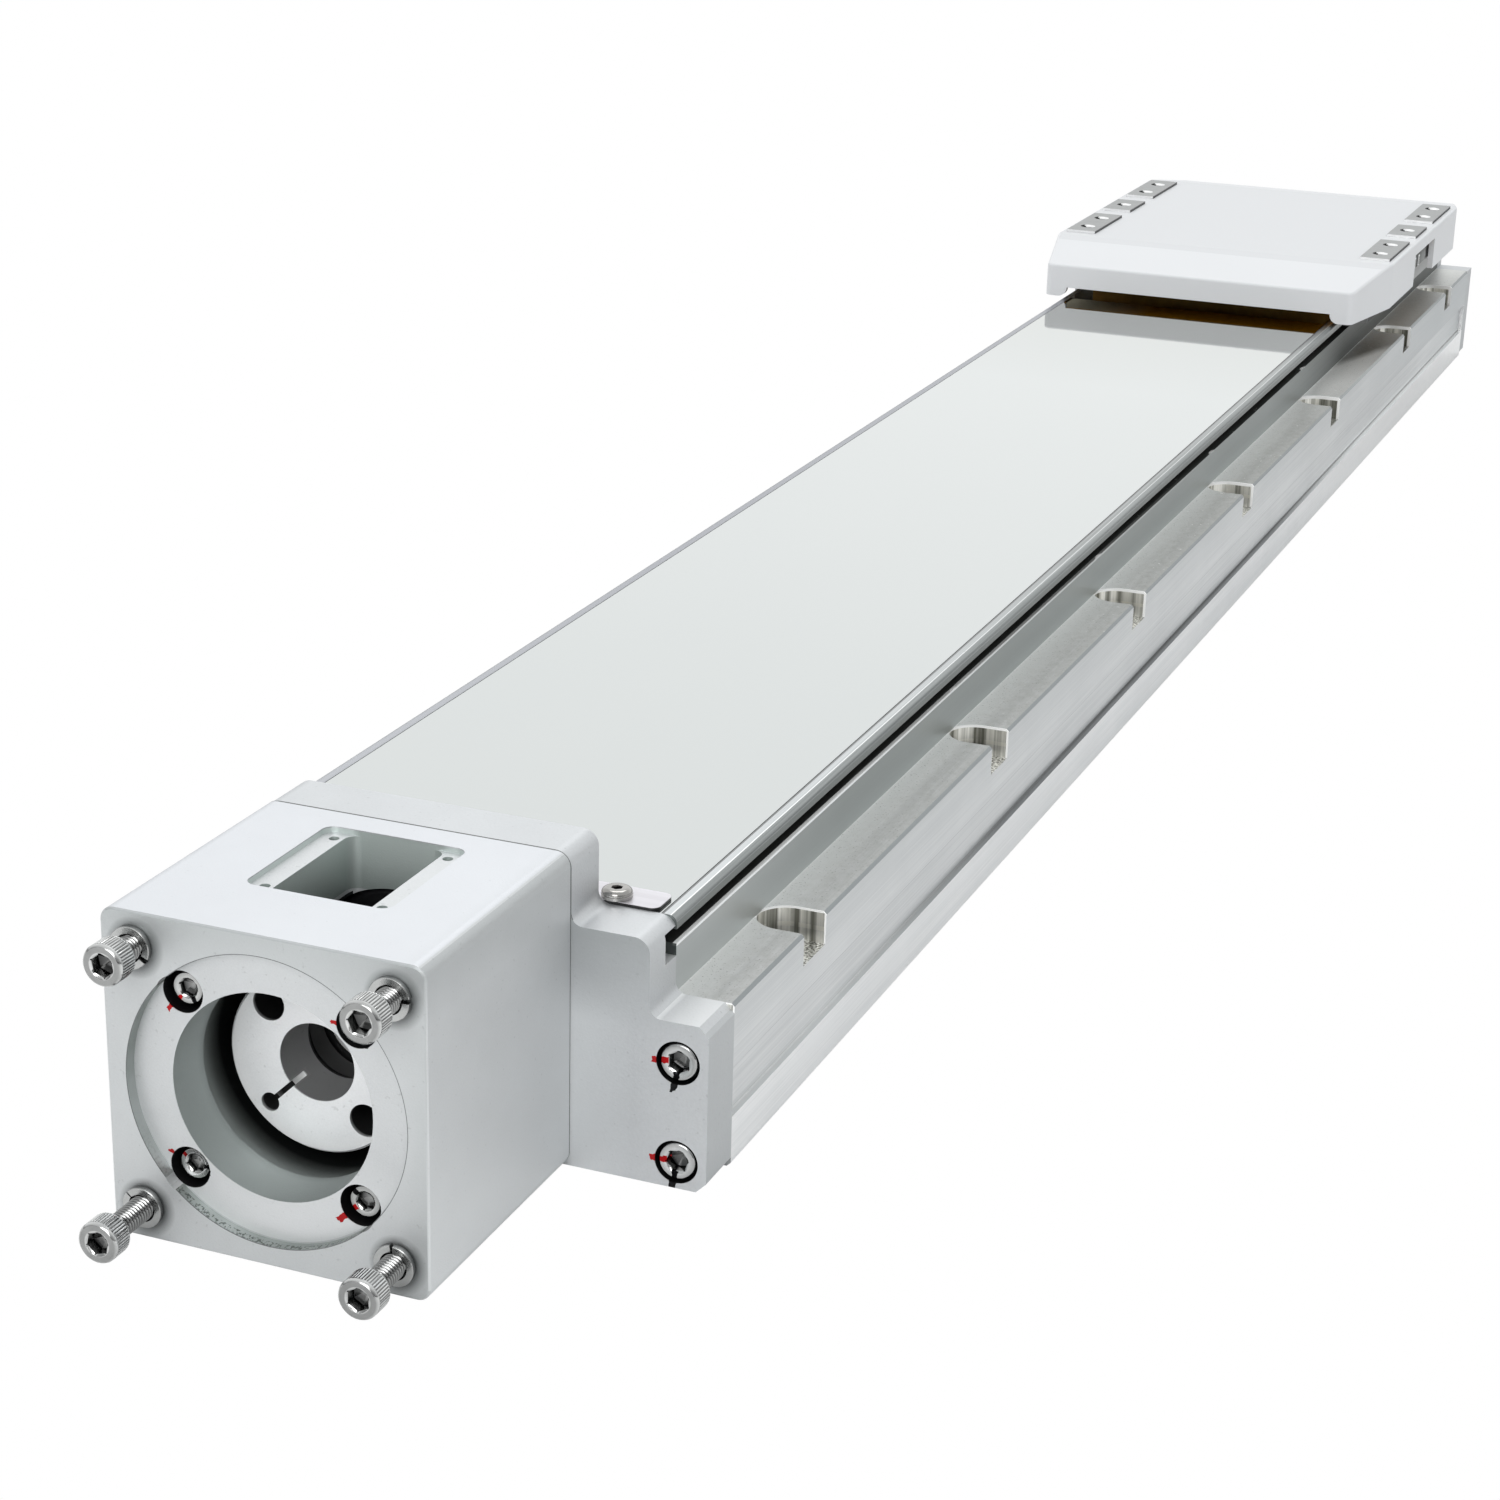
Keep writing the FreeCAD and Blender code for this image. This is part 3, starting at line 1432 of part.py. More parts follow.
box_outline(
    sk,
    "-(base_half-cover_wall)",
    "base_half-cover_wall",
    "-(carriage_half_length-corner_run)",
    "carriage_half_length-corner_run",
)
pocket(shell, sk, COVER_IN + "-skirt_bottom", reverse=True)
# Mouths over the strip, at both ends
sk = new_sketch(shell, "mouths", "XZ_Plane", "carriage_half_length+1")
box_outline(sk, "-mouth_half", "mouth_half", "skirt_bottom-1", "mouth_top")
pocket(shell, sk)
dress(
    shell,
    "Fillet",
    "mouth_rounds",
    "Radius",
    "mouth_round",
    lambda b, e: near(b.ZMax, size_of("skirt_bottom"))
    and b.ZLength < 0.01
    and b.XLength < 0.01
    and near(abs(b.Center.x), size_of("mouth_half")),
)
sk = new_sketch(shell, "side_openings", "YZ_Plane", "-base_half-1")
box_outline(sk, "-side_open_half", "side_open_half", "skirt_bottom-1", "side_open_top")
pocket(shell, sk, reverse=True)
sk = new_sketch(shell, "pad_windows", "XY_Plane", "carriage_top")
for y0, y1 in PADS:
    y0 = y0 + "-pad_clear"
    y1 = y1 + "+pad_clear"
    box_outline(sk, "pad_inner-pad_clear", "pad_outer+pad_clear", y0, y1)
    box_outline(sk, "-pad_outer-pad_clear", "-pad_inner+pad_clear", y0, y1)
pocket(shell, sk, "cover_wall+1")

# Felt wipers on both ends of the table, just clear of the strip
for label, y in (
    ("wiper_front", "carriage_rest-table_half_length-wiper_thick"),
    ("wiper_rear", "carriage_rest+table_half_length"),
):
    low = STRIP_TOP + "+0.3"
    node(label, block("2*strip_half", "wiper_thick", "wiper_high", "-strip_half", y, low))

# Checks, then one STEP file for each piece
doc.recompute()
for obj in doc.Objects:
    if "Invalid" in obj.State or "Error" in obj.State:
        raise RuntimeError("%s (%s) has state %s" % (obj.Name, obj.Label, obj.State))
for obj in NODES:
    if obj.Shape.isNull() or not obj.Shape.isValid():
        raise RuntimeError("%s has no valid shape" % obj.Label)
for obj in NODES:
    obj.Shape.exportStep("parts/%s.step" % obj.Label)
    b = obj.Shape.BoundBox
    print(
        "%-24s solids %2d  volume %10.0f  x %7.1f %7.1f  y %7.1f %7.1f  z %6.1f %6.1f"
        % (
            obj.Label,
            len(obj.Shape.Solids),
            obj.Shape.Volume,
            b.XMin,
            b.XMax,
            b.YMin,
            b.YMax,
            b.ZMin,
            b.ZMax,
        )
    )
print("pieces", len(NODES))
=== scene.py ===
import math
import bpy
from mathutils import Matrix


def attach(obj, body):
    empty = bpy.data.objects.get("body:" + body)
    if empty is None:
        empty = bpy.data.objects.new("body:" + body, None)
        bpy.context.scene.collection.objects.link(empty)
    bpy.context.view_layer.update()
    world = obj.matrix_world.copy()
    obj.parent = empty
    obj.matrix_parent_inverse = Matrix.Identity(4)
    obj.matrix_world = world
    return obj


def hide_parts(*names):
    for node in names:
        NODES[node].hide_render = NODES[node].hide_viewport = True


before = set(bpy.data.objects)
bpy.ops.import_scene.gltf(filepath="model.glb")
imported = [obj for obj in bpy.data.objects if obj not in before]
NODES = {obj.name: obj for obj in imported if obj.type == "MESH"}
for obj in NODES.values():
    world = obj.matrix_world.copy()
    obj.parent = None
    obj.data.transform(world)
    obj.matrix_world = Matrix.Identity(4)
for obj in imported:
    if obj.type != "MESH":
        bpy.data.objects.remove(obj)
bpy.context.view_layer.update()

from types import SimpleNamespace

import bmesh
import bpy
import mathutils
import numpy as np


def corners(name):
    """The low and the high corner of one of the solids, in metres, rounded to a micrometre."""
    mesh = NODES[name].data
    points = np.empty(len(mesh.vertices) * 3, dtype=np.float32)
    mesh.vertices.foreach_get("co", points)
    points = np.round(points.reshape(-1, 3).astype(float), 6)
    return points.min(axis=0).tolist(), points.max(axis=0).tolist()


# Ends, half widths and tops in metres, read from the solids
(_, FACE, _), (HOUSING_HALF, BLOCK, HOUSING_TOP) = corners("motor_housing")
(_, BASE0, _), (HALF, BASE1, WALL_TOP) = corners("base_extrusion")
(_, COVER0, _), (_, COVER1, COVER_TOP) = corners("carriage_cover")
(_, HUB, _), _ = corners("coupling_hub_motor")
(_, _, CLAMP_LOW), (CLAMP_HALF, CLAMP_END, CLAMP_TOP) = corners("strip_clamp_front")
(_, _, _), (WALL, _, _) = corners("top_cover")
(_, _, _), (_, _, WASHER_TOP) = corners("strip_clamp_washers")
AXIS = HOUSING_TOP / 2
REST = (COVER0 + COVER1) / 2
CLAMP_LONG = CLAMP_END - BASE0
MM = 0.001

# Housing and coupling: radii, and the depths of the recess, the screws' seats and the window's lower edge
PILOT = 0.0350
PILOT_FLOOR = FACE + 0.0032
SEAT_FLOOR = FACE + 0.0088
CHAMBER = 0.0250
WINDOW_SILL = 0.0655
HUB_BORE = 0.0098

# Levels of the base's flange, side band and notches, the band's inner side, and the carriage's pads
FLANGE_TOP = 0.0425
BAND_FOOT = 0.0131
BAND_TOP = 0.0260
BAND_IN = 0.0733
NOTCH_FLOOR = FLANGE_TOP - 0.00865
PAD_FOOT = 0.0795

# Notches: one on the origin, the others a pitch apart but for the last, each with a round inner end
NOTCH_PITCH = 0.150
LAST_NOTCH = 0.850
NOTCH_HALF = 0.0077
NOTCH_CENTRE = HALF - 0.0152 + NOTCH_HALF

# Screws: places across and up
MOTOR_HOLE = 0.03182
FLANGE_SCREWS = [(side * 0.0674, z) for side in (1, -1) for z in (0.0323, 0.0068)]
HOUSING_SCREWS = [(side * 0.0215, AXIS + up * 0.0215) for side in (-1, 1) for up in (1, -1)]


def grey(level):
    """A colour with three equal numbers."""
    return (level, level, level)


def darker(colour, share):
    """A colour times one number."""
    return tuple(c * share for c in colour)


# Shader expressions, with the numbers of the outputs that they read

GENERATED = 0
OBJECT = 3
TRUE_NORMAL = 3
ATTRIBUTE_NUMBER = 2
MIXED_COLOUR = 2
CAMERA_RAY = 0


class Sock:
    """A shader value that takes part in Python expressions."""

    def __init__(self, mat, socket):
        self.mat = mat
        self.socket = socket

    def math(self, kind, *others):
        inputs = dict(enumerate((self,) + others))
        return self.mat.node("ShaderNodeMath", {"operation": kind}, inputs)[0]

    def __add__(self, other):
        return self.math("ADD", other)

    __radd__ = __add__

    def __sub__(self, other):
        return self.math("SUBTRACT", other)

    def __rsub__(self, other):
        return self.mat.node("ShaderNodeMath", {"operation": "SUBTRACT"}, {0: other, 1: self})[0]

    def __mul__(self, other):
        return self.math("MULTIPLY", other)

    __rmul__ = __mul__

    def __truediv__(self, other):
        return self.math("DIVIDE", other)

    def __pow__(self, other):
        return self.math("POWER", other)

    def __lt__(self, other):
        return self.math("LESS_THAN", other)

    def __gt__(self, other):
        return self.math("GREATER_THAN", other)

    def __abs__(self):
        return self.math("ABSOLUTE")

    def low(self, other):
        return self.math("MINIMUM", other)

    def high(self, other):
        return self.math("MAXIMUM", other)

    def wrapped(self, low, high):
        """The value carried back into the stretch from low to high."""
        return self.math("WRAP", high, low)

    def between(self, low, high):
        """1 where the value is above low and below high."""
        return (self > low) * (self < high)

    def near(self, centre, reach):
        """1 where the value is less than reach from centre."""
        return abs(self - centre) < reach

    def ramp(self, a, b):
        """0 at a, 1 at b, straight between."""
        return ((self - a) / (b - a)).high(0.0).low(1.0)


class Mat:
    """A material whose nodes are made by expressions."""

    def __init__(self, name, **constants):
        self.data = bpy.data.materials.new(name)
        self.data.use_nodes = True
        self.tree = self.data.node_tree
        self.shader = self.tree.nodes["Principled BSDF"]
        for key, value in constants.items():
            self.shader.inputs[key.replace("_", " ")].default_value = value
        self.made = {}

    def node(self, kind, settings=None, inputs=None):
        """Any node: its type, its settings, and its inputs by name or number. Gives all its outputs."""
        made = self.tree.nodes.new(kind)
        for key, value in (settings or {}).items():
            setattr(made, key, value)
        for key, value in (inputs or {}).items():
            socket = made.inputs[key]
            if isinstance(value, Sock):
                self.tree.links.new(value.socket, socket)
            elif socket.type == "RGBA":
                socket.default_value = (*value, 1.0)
            else:
                socket.default_value = value
        return [Sock(self, socket) for socket in made.outputs]

    def place(self):
        """The point in the frame of the solids, and its three numbers."""
        if "place" not in self.made:
            point = self.node("ShaderNodeTexCoord")[OBJECT]
            self.made["place"] = (point, *self.node("ShaderNodeSeparateXYZ", None, {0: point}))
        return self.made["place"]

    def facing(self):
        """The true normal's three numbers."""
        if "facing" not in self.made:
            normal = self.node("ShaderNodeNewGeometry")[TRUE_NORMAL]
            self.made["facing"] = self.node("ShaderNodeSeparateXYZ", None, {0: normal})
        return self.made["facing"]

    def attribute(self, name):
        """The number that an attribute of the mesh holds."""
        return self.node("ShaderNodeAttribute", {"attribute_name": name})[ATTRIBUTE_NUMBER]

    def noise(self, x, y, z, detail=2.0, rough=0.5):
        """Noise with a mean near 0.5 and x, y and z waves to a metre."""
        point = self.place()[0]
        point = self.node("ShaderNodeVectorMath", {"operation": "MULTIPLY"}, {0: point, 1: (x, y, z)})[0]
        inputs = {"Vector": point, "Scale": 1.0, "Detail": detail, "Roughness": rough}
        return self.node("ShaderNodeTexNoise", {"noise_dimensions": "3D"}, inputs)[0]

    def even_noise(self, waves, detail=2.0, rough=0.5):
        """Noise with as many waves to a metre along each axis."""
        return self.noise(waves, waves, waves, detail, rough)

    def mix(self, factor, a, b):
        """Colour a where factor is 0, b where it is 1."""
        inputs = {0: factor, 6: a, 7: b}
        return self.node("ShaderNodeMix", {"data_type": "RGBA"}, inputs)[MIXED_COLOUR]

    def set(self, key, value):
        self.tree.links.new(value.socket, self.shader.inputs[key])

    def bump(self, height, distance, strength):
        """height in its own unit, distance metres per unit."""
        inputs = {"Strength": strength, "Distance": distance, "Height": height}
        self.set("Normal", self.node("ShaderNodeBump", None, inputs)[0])


# Paint strokes on the screws: each a colour, the screw's place, the angle in degrees, the stroke's near and
# far end from the screw's axis and its half width; each list goes with the depth at which the paint ends

RED = (0.42, 0.012, 0.014)
INK = (0.006, 0.006, 0.007)

flange_strokes = []
for cx, cz in FLANGE_SCREWS:
    flange_strokes.append((RED, cx, cz, 180, 0.0026, 0.0068, 0.0008))
    flange_strokes.append((INK, cx, cz, 262, 0.0026, 0.0092 if cz < 0.02 else 0.0075, 0.0008))
FLANGE_PAINT = (BLOCK + 0.0065, flange_strokes)

housing_strokes = []
for (cx, cz), red, ink in zip(HOUSING_SCREWS, (231, 146, 180, 221), (300, 355, 300, 140)):
    far, half = (0.0074, 0.0007) if cx > 0 and cz < AXIS else (0.0062, 0.00045)
    housing_strokes.append((RED, cx, cz, red, 0.0026, far, half))
    housing_strokes.append((INK, cx, cz, ink, 0.0022, 0.0050, 0.0006))
HOUSING_PAINT = (FACE + 0.0105, housing_strokes)


def painted(m, base, paint):
    """base with short radial strokes over it: a slightly ragged rectangle turned about each screw."""
    depth, strokes = paint
    _, x, y, z = m.place()
    ragged = (m.even_noise(900, 2.0) - 0.5) * 0.0012
    for colour, cx, cz, degrees, near, far, half in strokes:
        turn = math.radians(degrees)
        along = (x - cx) * math.cos(turn) + (z - cz) * math.sin(turn)
        off = abs((x - cx) * -math.sin(turn) + (z - cz) * math.cos(turn))
        stroke = (along > near) * (along < ragged * 1.5 + far) * (off < ragged + half)
        base = m.mix(stroke * (y < depth), base, colour)
    return base


def blasted(name, colour, grain, shading, pits=0.55, metal=0.72, paint=None, seats=None):
    """Fine-blasted aluminium: small pits, faint darker specks, slight cloudiness and screw seats in painted
    shade.

    shading adds a piece's painted light and shade. seats holds the screws' places, the radius of their
    counterbores, whose walls are painted near black as shade, and the depth at which these start.
    """
    m = Mat(name, Metallic=metal, Roughness=0.46)
    fine = m.even_noise(grain, 3.0, 0.6)
    cloud = m.even_noise(40, 3.0, 0.6)
    specks = m.even_noise(900, 1.0).ramp(0.70, 0.78)
    base = m.mix((fine * 0.55 + cloud * 0.45).ramp(0.25, 0.75), darker(colour, 0.86), colour)
    base = m.mix(specks * 0.35, base, darker(colour, 0.55))
    base = shading(m, base)
    if paint:
        base = painted(m, base, paint)
    if seats:
        places, radius, start = seats
        _, x, y, z = m.place()
        outside_chamber = x * x + (z - AXIS) ** 2 > (CHAMBER + 0.0001) ** 2
        # Painted shade: the counterbore walls near black
        for cx, cz in places:
            inside = (x - cx) ** 2 + (z - cz) ** 2 < radius * radius
            inside = inside * y.between(start + 0.00015, start + 0.009) * outside_chamber
            base = m.mix(inside, base, (0.012, 0.012, 0.013))
    m.set("Base Color", base)
    m.set("Roughness", fine * 0.14 + 0.40)
    m.bump(fine, distance=0.00010, strength=pits)
    return m.data


def seamed(m, base):
    """base with the dark seam where the housing meets the drive end block."""
    _, x, y, z = m.place()
    _, ny, _ = m.facing()
    seam = y.near(BLOCK, 0.0003) * (abs(ny) < 0.5) * (z > 0.0005) * (abs(x) < HOUSING_HALF + 0.0005)
    return m.mix(seam * 0.85, base, (0.05, 0.055, 0.05))


def recess_shading(m, base, away):
    """The recess in the motor face: a stained, spotted wall darkened as painted shade, and painted light
    that makes the floor brighter low down.
    """
    _, _, y, z = m.place()
    _, ny, _ = m.facing()
    # Painted shade: the recess wall much darker than the face; the stain noise only mottles it
    wall = (abs(ny) < 0.5) * away.between(PILOT - 0.0020, PILOT + 0.0002) * (y < PILOT_FLOOR + 0.0002)
    stain = m.even_noise(70, 2.0, 0.6).ramp(0.35, 0.65)
    base = m.mix(wall, base, m.mix(stain, (0.27, 0.30, 0.285), (0.38, 0.41, 0.40)))
    spots = m.noise(1500, 900, 1500, 2.0, 0.7).ramp(0.50, 0.58) * z.ramp(0.030, 0.012)
    base = m.mix(wall * spots * (y < FACE + 0.0020) * 0.8, base, (0.05, 0.06, 0.055))
    # Painted light: the recess floor brighter towards the bottom
    floor = y.near(PILOT_FLOOR, 0.0002) * (away < PILOT - 0.0004)
    return m.mix(floor * z.ramp(0.030, 0.008) * 0.5, base, (0.88, 0.89, 0.90))


def screw_shading(m, base, front):
    """Painted shadows: soft dark rings under the motor screws' washers, a little to the right and down, and
    holes painted dark as shade.
    """
    _, x, _, z = m.place()
    # Painted shadow rings round the washers, shifted right and down
    across = abs(x - 0.0005) - MOTOR_HOLE
    up = abs(z - (AXIS - 0.0004)) - MOTOR_HOLE
    ring = (across * across + up * up) ** 0.5
    base = m.mix(ring.ramp(0.0074, 0.0048) * front * 0.75, base, (0.05, 0.055, 0.055))
    # Painted shade: the screw holes near black
    hole = (abs(x) - MOTOR_HOLE) ** 2 + (abs(z - AXIS) - MOTOR_HOLE) ** 2
    return m.mix((hole < 0.0036**2) * front, base, grey(0.008))


def chamber_shading(m, base, away):
    """The coupling chamber: grey-green walls with painted shade that goes black with depth, and a rear part
    painted the same way.
    """
    _, _, y, z = m.place()
    _, ny, _ = m.facing()
    bore = (away < CHAMBER + 0.0025) * (abs(ny) < 0.7) * (z < WINDOW_SILL) * (y > FACE + 0.0030)
    deep = y.ramp(FACE + 0.0135, FACE + 0.0260) ** 1.1
    wall = m.mix(deep, (0.395, 0.435, 0.425), (0.012, 0.013, 0.013))
    rear = m.mix(y.ramp(FACE + 0.0195, FACE + 0.0262), (0.34, 0.37, 0.36), (0.02, 0.022, 0.022))
    return m.mix(bore, base, m.mix(away > CHAMBER + 0.0006, wall, rear))


def housing_shading(m, base):
    """The housing's painted light and shade: recess, screw rings, face, top and its edges, right side,
    chamber, window.
    """
    _, x, y, z = m.place()
    nx, ny, nz = m.facing()
    away = (x * x + (z - AXIS) ** 2) ** 0.5
    front = y < FACE + 0.0002
    top = HOUSING_TOP - 0.0005
    base = recess_shading(m, base, away)
    # Painted shade: the whole front face a little darker
    base = m.mix(front * 0.14, base, (0.38, 0.41, 0.41))
    base = screw_shading(m, base, front)
    # Painted light: the flat top a little lighter and bluer
    base = m.mix((nz > 0.9) * (z > top) * 0.5, base, (0.675, 0.69, 0.735))
    # Painted shade on the bevel along the top's front edge
    base = m.mix((ny < -0.4) * (nz > 0.4) * (z > top - 0.0005) * 0.5, base, (0.33, 0.35, 0.36))
    # Painted shade: the face darker towards its top and its right edge
    face_band = (z.ramp(0.064, 0.079) * 0.35).high(x.ramp(0.033, 0.039) * 0.2)
    base = m.mix(front * face_band, base, (0.38, 0.41, 0.41))
    # Painted shade along the top's right edge and on the right side's upper part
    edge = x.ramp(HOUSING_HALF - 0.0065, HOUSING_HALF) * 0.15 * (z > top)
    edge = edge.high((nx > 0.5) * z.ramp(0.066, 0.079) * 0.45)
    base = m.mix(edge, base, (0.36, 0.38, 0.385))
    # Painted light: the right side lighter towards the bottom
    base = m.mix((nx > 0.7) * z.ramp(0.055, 0.005) * 0.45, base, (0.84, 0.86, 0.87))
    # Painted shade: a thin dark line round the recess's edge
    line = away.near(PILOT + 0.00005, 0.00013) * (y < FACE + 0.0001)
    base = m.mix(line * 0.75, base, (0.08, 0.085, 0.085))
    base = chamber_shading(m, base, away)
    # Painted shade: the window walls darker towards the bottom
    window = z.between(WINDOW_SILL, HOUSING_TOP - 0.0003) * (abs(x) < 0.0300) * (y > FACE + 0.01)
    window = window * (abs(nz) < 0.5)
    shade = m.mix(z.ramp(0.0785, 0.060), (0.60, 0.66, 0.64), (0.28, 0.32, 0.31))
    return seamed(m, m.mix(window, base, shade))


def block_shading(m, base):
    """The end blocks' painted light and shade: face, side band, steps, slot floors and the rear block's
    inner face.
    """
    _, x, y, z = m.place()
    nx, ny, nz = m.facing()
    front = (y < BLOCK + 0.0003) * (ny < -0.9)
    # Painted light: the face lighter near the housing, low down
    base = m.mix(front * x.ramp(0.056, 0.041) * z.ramp(0.052, 0.040) * 0.60, base, (0.86, 0.88, 0.89))
    # Painted shade: the face darker towards its top
    base = m.mix(front * z.ramp(0.038, 0.060) * 0.75, base, (0.38, 0.40, 0.405))
    # Painted shade on the right side
    base = m.mix((nx > 0.7) * (x > HALF - 0.0010) * 0.40, base, (0.38, 0.40, 0.405))
    # Painted light on the front steps
    base = m.mix((nz > 0.9) * (z < FLANGE_TOP + 0.0015) * (y < 0) * 0.55, base, (0.86, 0.87, 0.875))
    # Painted highlight on the slot floors
    base = m.mix((nz > 0.9) * z.near(0.0520, 0.0003) * (abs(x) > 0.055), base, (0.97, 0.98, 0.98))
    # Painted light: the rear block's inner face near white
    base = m.mix((y > 0.8) * (ny < -0.5), base, grey(0.97))
    return seamed(m, base)


def hub_shading(m, base):
    """The coupling's painted light and shade: holes painted dark with depth, and a slit wall, rim and inner
    ring painted bright.
    """
    _, x, y, z = m.place()
    _, ny, _ = m.facing()
    away = (x * x + (z - AXIS) ** 2) ** 0.5
    face_end = HUB + 0.0011
    # Painted shade: the holes black with depth
    hole = (abs(ny) < 0.5) * away.between(HUB_BORE, 0.0240) * y.ramp(HUB, face_end)
    hole = hole.high((ny < -0.5) * (y > face_end) * (away < 0.0240))
    base = m.mix(hole * 0.98, base, grey(0.006))
    # Painted light on the slit's wall
    slit = (abs(x - (z - AXIS)) < 0.0016) * (x < 0) * away.between(HUB_BORE - 0.0004, 0.0140)
    base = m.mix(slit * y.between(HUB + 0.0003, HUB + 0.0076), base, grey(0.97))
    # Painted shade in the bore
    base = m.mix((away < HUB_BORE) * (y > HUB + 0.0003) * 0.62, base, grey(0.08))
    # Painted light on the face's rim
    base = m.mix((ny < -0.9) * away.ramp(0.0180, 0.0235) * 0.8, base, grey(1.0))
    # Painted shade deep in the bore, with a ring of painted light
    inner = m.mix(y.ramp(HUB + 0.0146, HUB + 0.0186), grey(0.006), grey(0.90))
    inner = m.mix(y.ramp(HUB + 0.0241, HUB + 0.0271), inner, grey(0.006))
    return m.mix((away < HUB_BORE) * (y > HUB + 0.0129), base, inner)


def steel(name, colour, rough, paint=None):
    """Shiny screw steel with slight stains, darkened by painted shade from the mesh's shade attribute."""
    m = Mat(name, Metallic=1.0, Roughness=rough)
    cloud = m.even_noise(260, 3.0, 0.6)
    base = m.mix(cloud.ramp(0.3, 0.7), darker(colour, 0.82), colour)
    # Painted shade from the mesh's shade attribute
    base = m.mix(m.attribute("shade"), base, grey(0.004))
    m.set("Base Color", painted(m, base, paint) if paint else base)
    m.set("Roughness", cloud * 0.14 + (rough - 0.07))
    m.bump(m.even_noise(1400, 2.0), distance=0.00003, strength=0.4)
    return m.data


def cover_plastic(name, colour):
    """Satin moulded plastic with a very fine grain, a top painted slightly darker as shade and a brown
    underside.
    """
    m = Mat(name, Roughness=0.42)
    grain = m.even_noise(2200, 2.0)
    cloud = m.even_noise(18, 2.0)
    z = m.place()[3]
    nz = m.facing()[2]
    base = m.mix(cloud.ramp(0.3, 0.7), darker(colour, 0.985), colour)
    # Painted shade: the top a little darker
    base = m.mix((nz > 0.97) * (z > COVER_TOP - 0.0010), base, darker(colour, 0.91))
    m.set("Base Color", m.mix((nz < -0.4) * (z > 0.0640), base, (0.45, 0.24, 0.05)))
    m.set("Roughness", grain * 0.10 + 0.37)
    m.bump(grain, distance=0.00003, strength=0.35)
    return m.data


def table_metal(name):
    """The carriage table: grey brushed pads with painted highlights on their fronts and painted shade on
    their right faces, flanks in painted shade with painted highlights on their slots, and a brown underside."""
    m = Mat(name, Metallic=0.85)
    _, x, y, z = m.place()
    nx, ny, nz = m.facing()
    brush = m.noise(90, 2600, 900, 3.0, 0.6)
    base = m.mix(brush.ramp(0.3, 0.7), (0.24, 0.245, 0.245), (0.38, 0.385, 0.385))
    pad = z > PAD_FOOT
    # Painted light and shade in the pads' holes, by the way each face points
    hole = pad * (abs(nx) < 0.95) * (abs(nz) < 0.9) * (abs(ny) < 0.98)
    base = m.mix(hole * (ny < 0.3), base, grey(0.96))
    base = m.mix(hole * (nx > 0.45), base, grey(0.03))
    # Painted highlight on the pads' fronts, painted shade on their right faces
    base = m.mix((ny < -0.9) * pad, base, grey(0.96))
    base = m.mix((nx > 0.9) * pad, base, grey(0.05))
    # Painted shade on the flanks, lighter towards the back and bottom
    flank = (abs(nx) > 0.9) * (z < PAD_FOOT - 0.0005) * (abs(x) > 0.060)
    pale = y.ramp(REST + 0.0028, REST + 0.0268) * z.ramp(0.0755, 0.0700)
    base = m.mix(flank, base, m.mix(pale, (0.06, 0.066, 0.063), (0.50, 0.51, 0.51)))
    # Painted highlights in the slots and round them
    slot = abs(x).between(0.0660, 0.0712) * z.between(0.0665, 0.0710) * (abs(nz) < 0.9)
    slot_highlights = z.between(0.0662, 0.0714) * abs(y - (REST + 0.0022)).near(0.0044, 0.0016) * flank
    slot = slot.high(slot_highlights)
    base = m.mix(slot, base, grey(0.97))
    m.set("Base Color", m.mix((nz < -0.5) * (z < 0.0670), base, (0.40, 0.21, 0.045)))
    m.set("Metallic", 0.85 - slot.high(flank) * 0.75)
    m.set("Roughness", brush * 0.16 + flank * 0.25 + 0.28)
    m.bump(brush, distance=0.00004, strength=0.5)
    return m.data


def strip_metal(name):
    """Bright rolled strip, almost flat, painted a little darker towards the carriage as shade."""
    m = Mat(name, Metallic=1.0, Roughness=0.03)
    y = m.place()[2]
    cloud = m.noise(9, 3, 9, 2.0)
    base = m.mix(cloud.ramp(0.3, 0.7), (0.548, 0.566, 0.562), (0.560, 0.576, 0.571))
    # Painted shade: darker towards the carriage
    m.set("Base Color", m.mix(y.ramp(0.50, 0.62) * 0.7, base, (0.465, 0.475, 0.455)))
    return m.data


def base_faces(m):
    """Masks of the base's faces, and the textures that more than one of them wears."""
    _, x, y, z = m.place()
    nx, ny, nz = m.facing()
    out = abs(x)
    upright = abs(nx) > 0.5
    side = upright * (out > HALF - 0.0020)
    pocket = z.between(NOTCH_FLOOR - 0.00035, FLANGE_TOP - 0.00005) * (out > WALL - 0.0010)
    lip_line = out.between(WALL - 0.0010, WALL + 0.0005) * y.ramp(0.45, 0.05)
    return SimpleNamespace(
        out=out,
        upright=upright,
        side=side,
        foot=side * (z < BAND_FOOT + 0.0004),
        guide_wall=upright * (z > FLANGE_TOP + 0.0002) * (out > 0.055),
        # lip: the wall's top outer edge, where a highlight is painted
        lip=z.between(WALL_TOP - 0.0007, WALL_TOP + 0.0002) * lip_line,
        top=(nz > 0.5) * (z > 0.04),
        notch_wall=pocket * (abs(ny) > 0.05).high(upright * (out < BAND_IN)),
        notch_floor=z.near(NOTCH_FLOOR, 0.0003) * (out > WALL - 0.0010) * (nz > 0.5),
        mottle=m.noise(420, 260, 420, 4.0, 0.7).ramp(0.35, 0.65),
        # rim_width: how wide the painted highlights of the notches are, wider far back
        rim_width=y.high(0.0) * 0.0011 + 0.00045,
    )


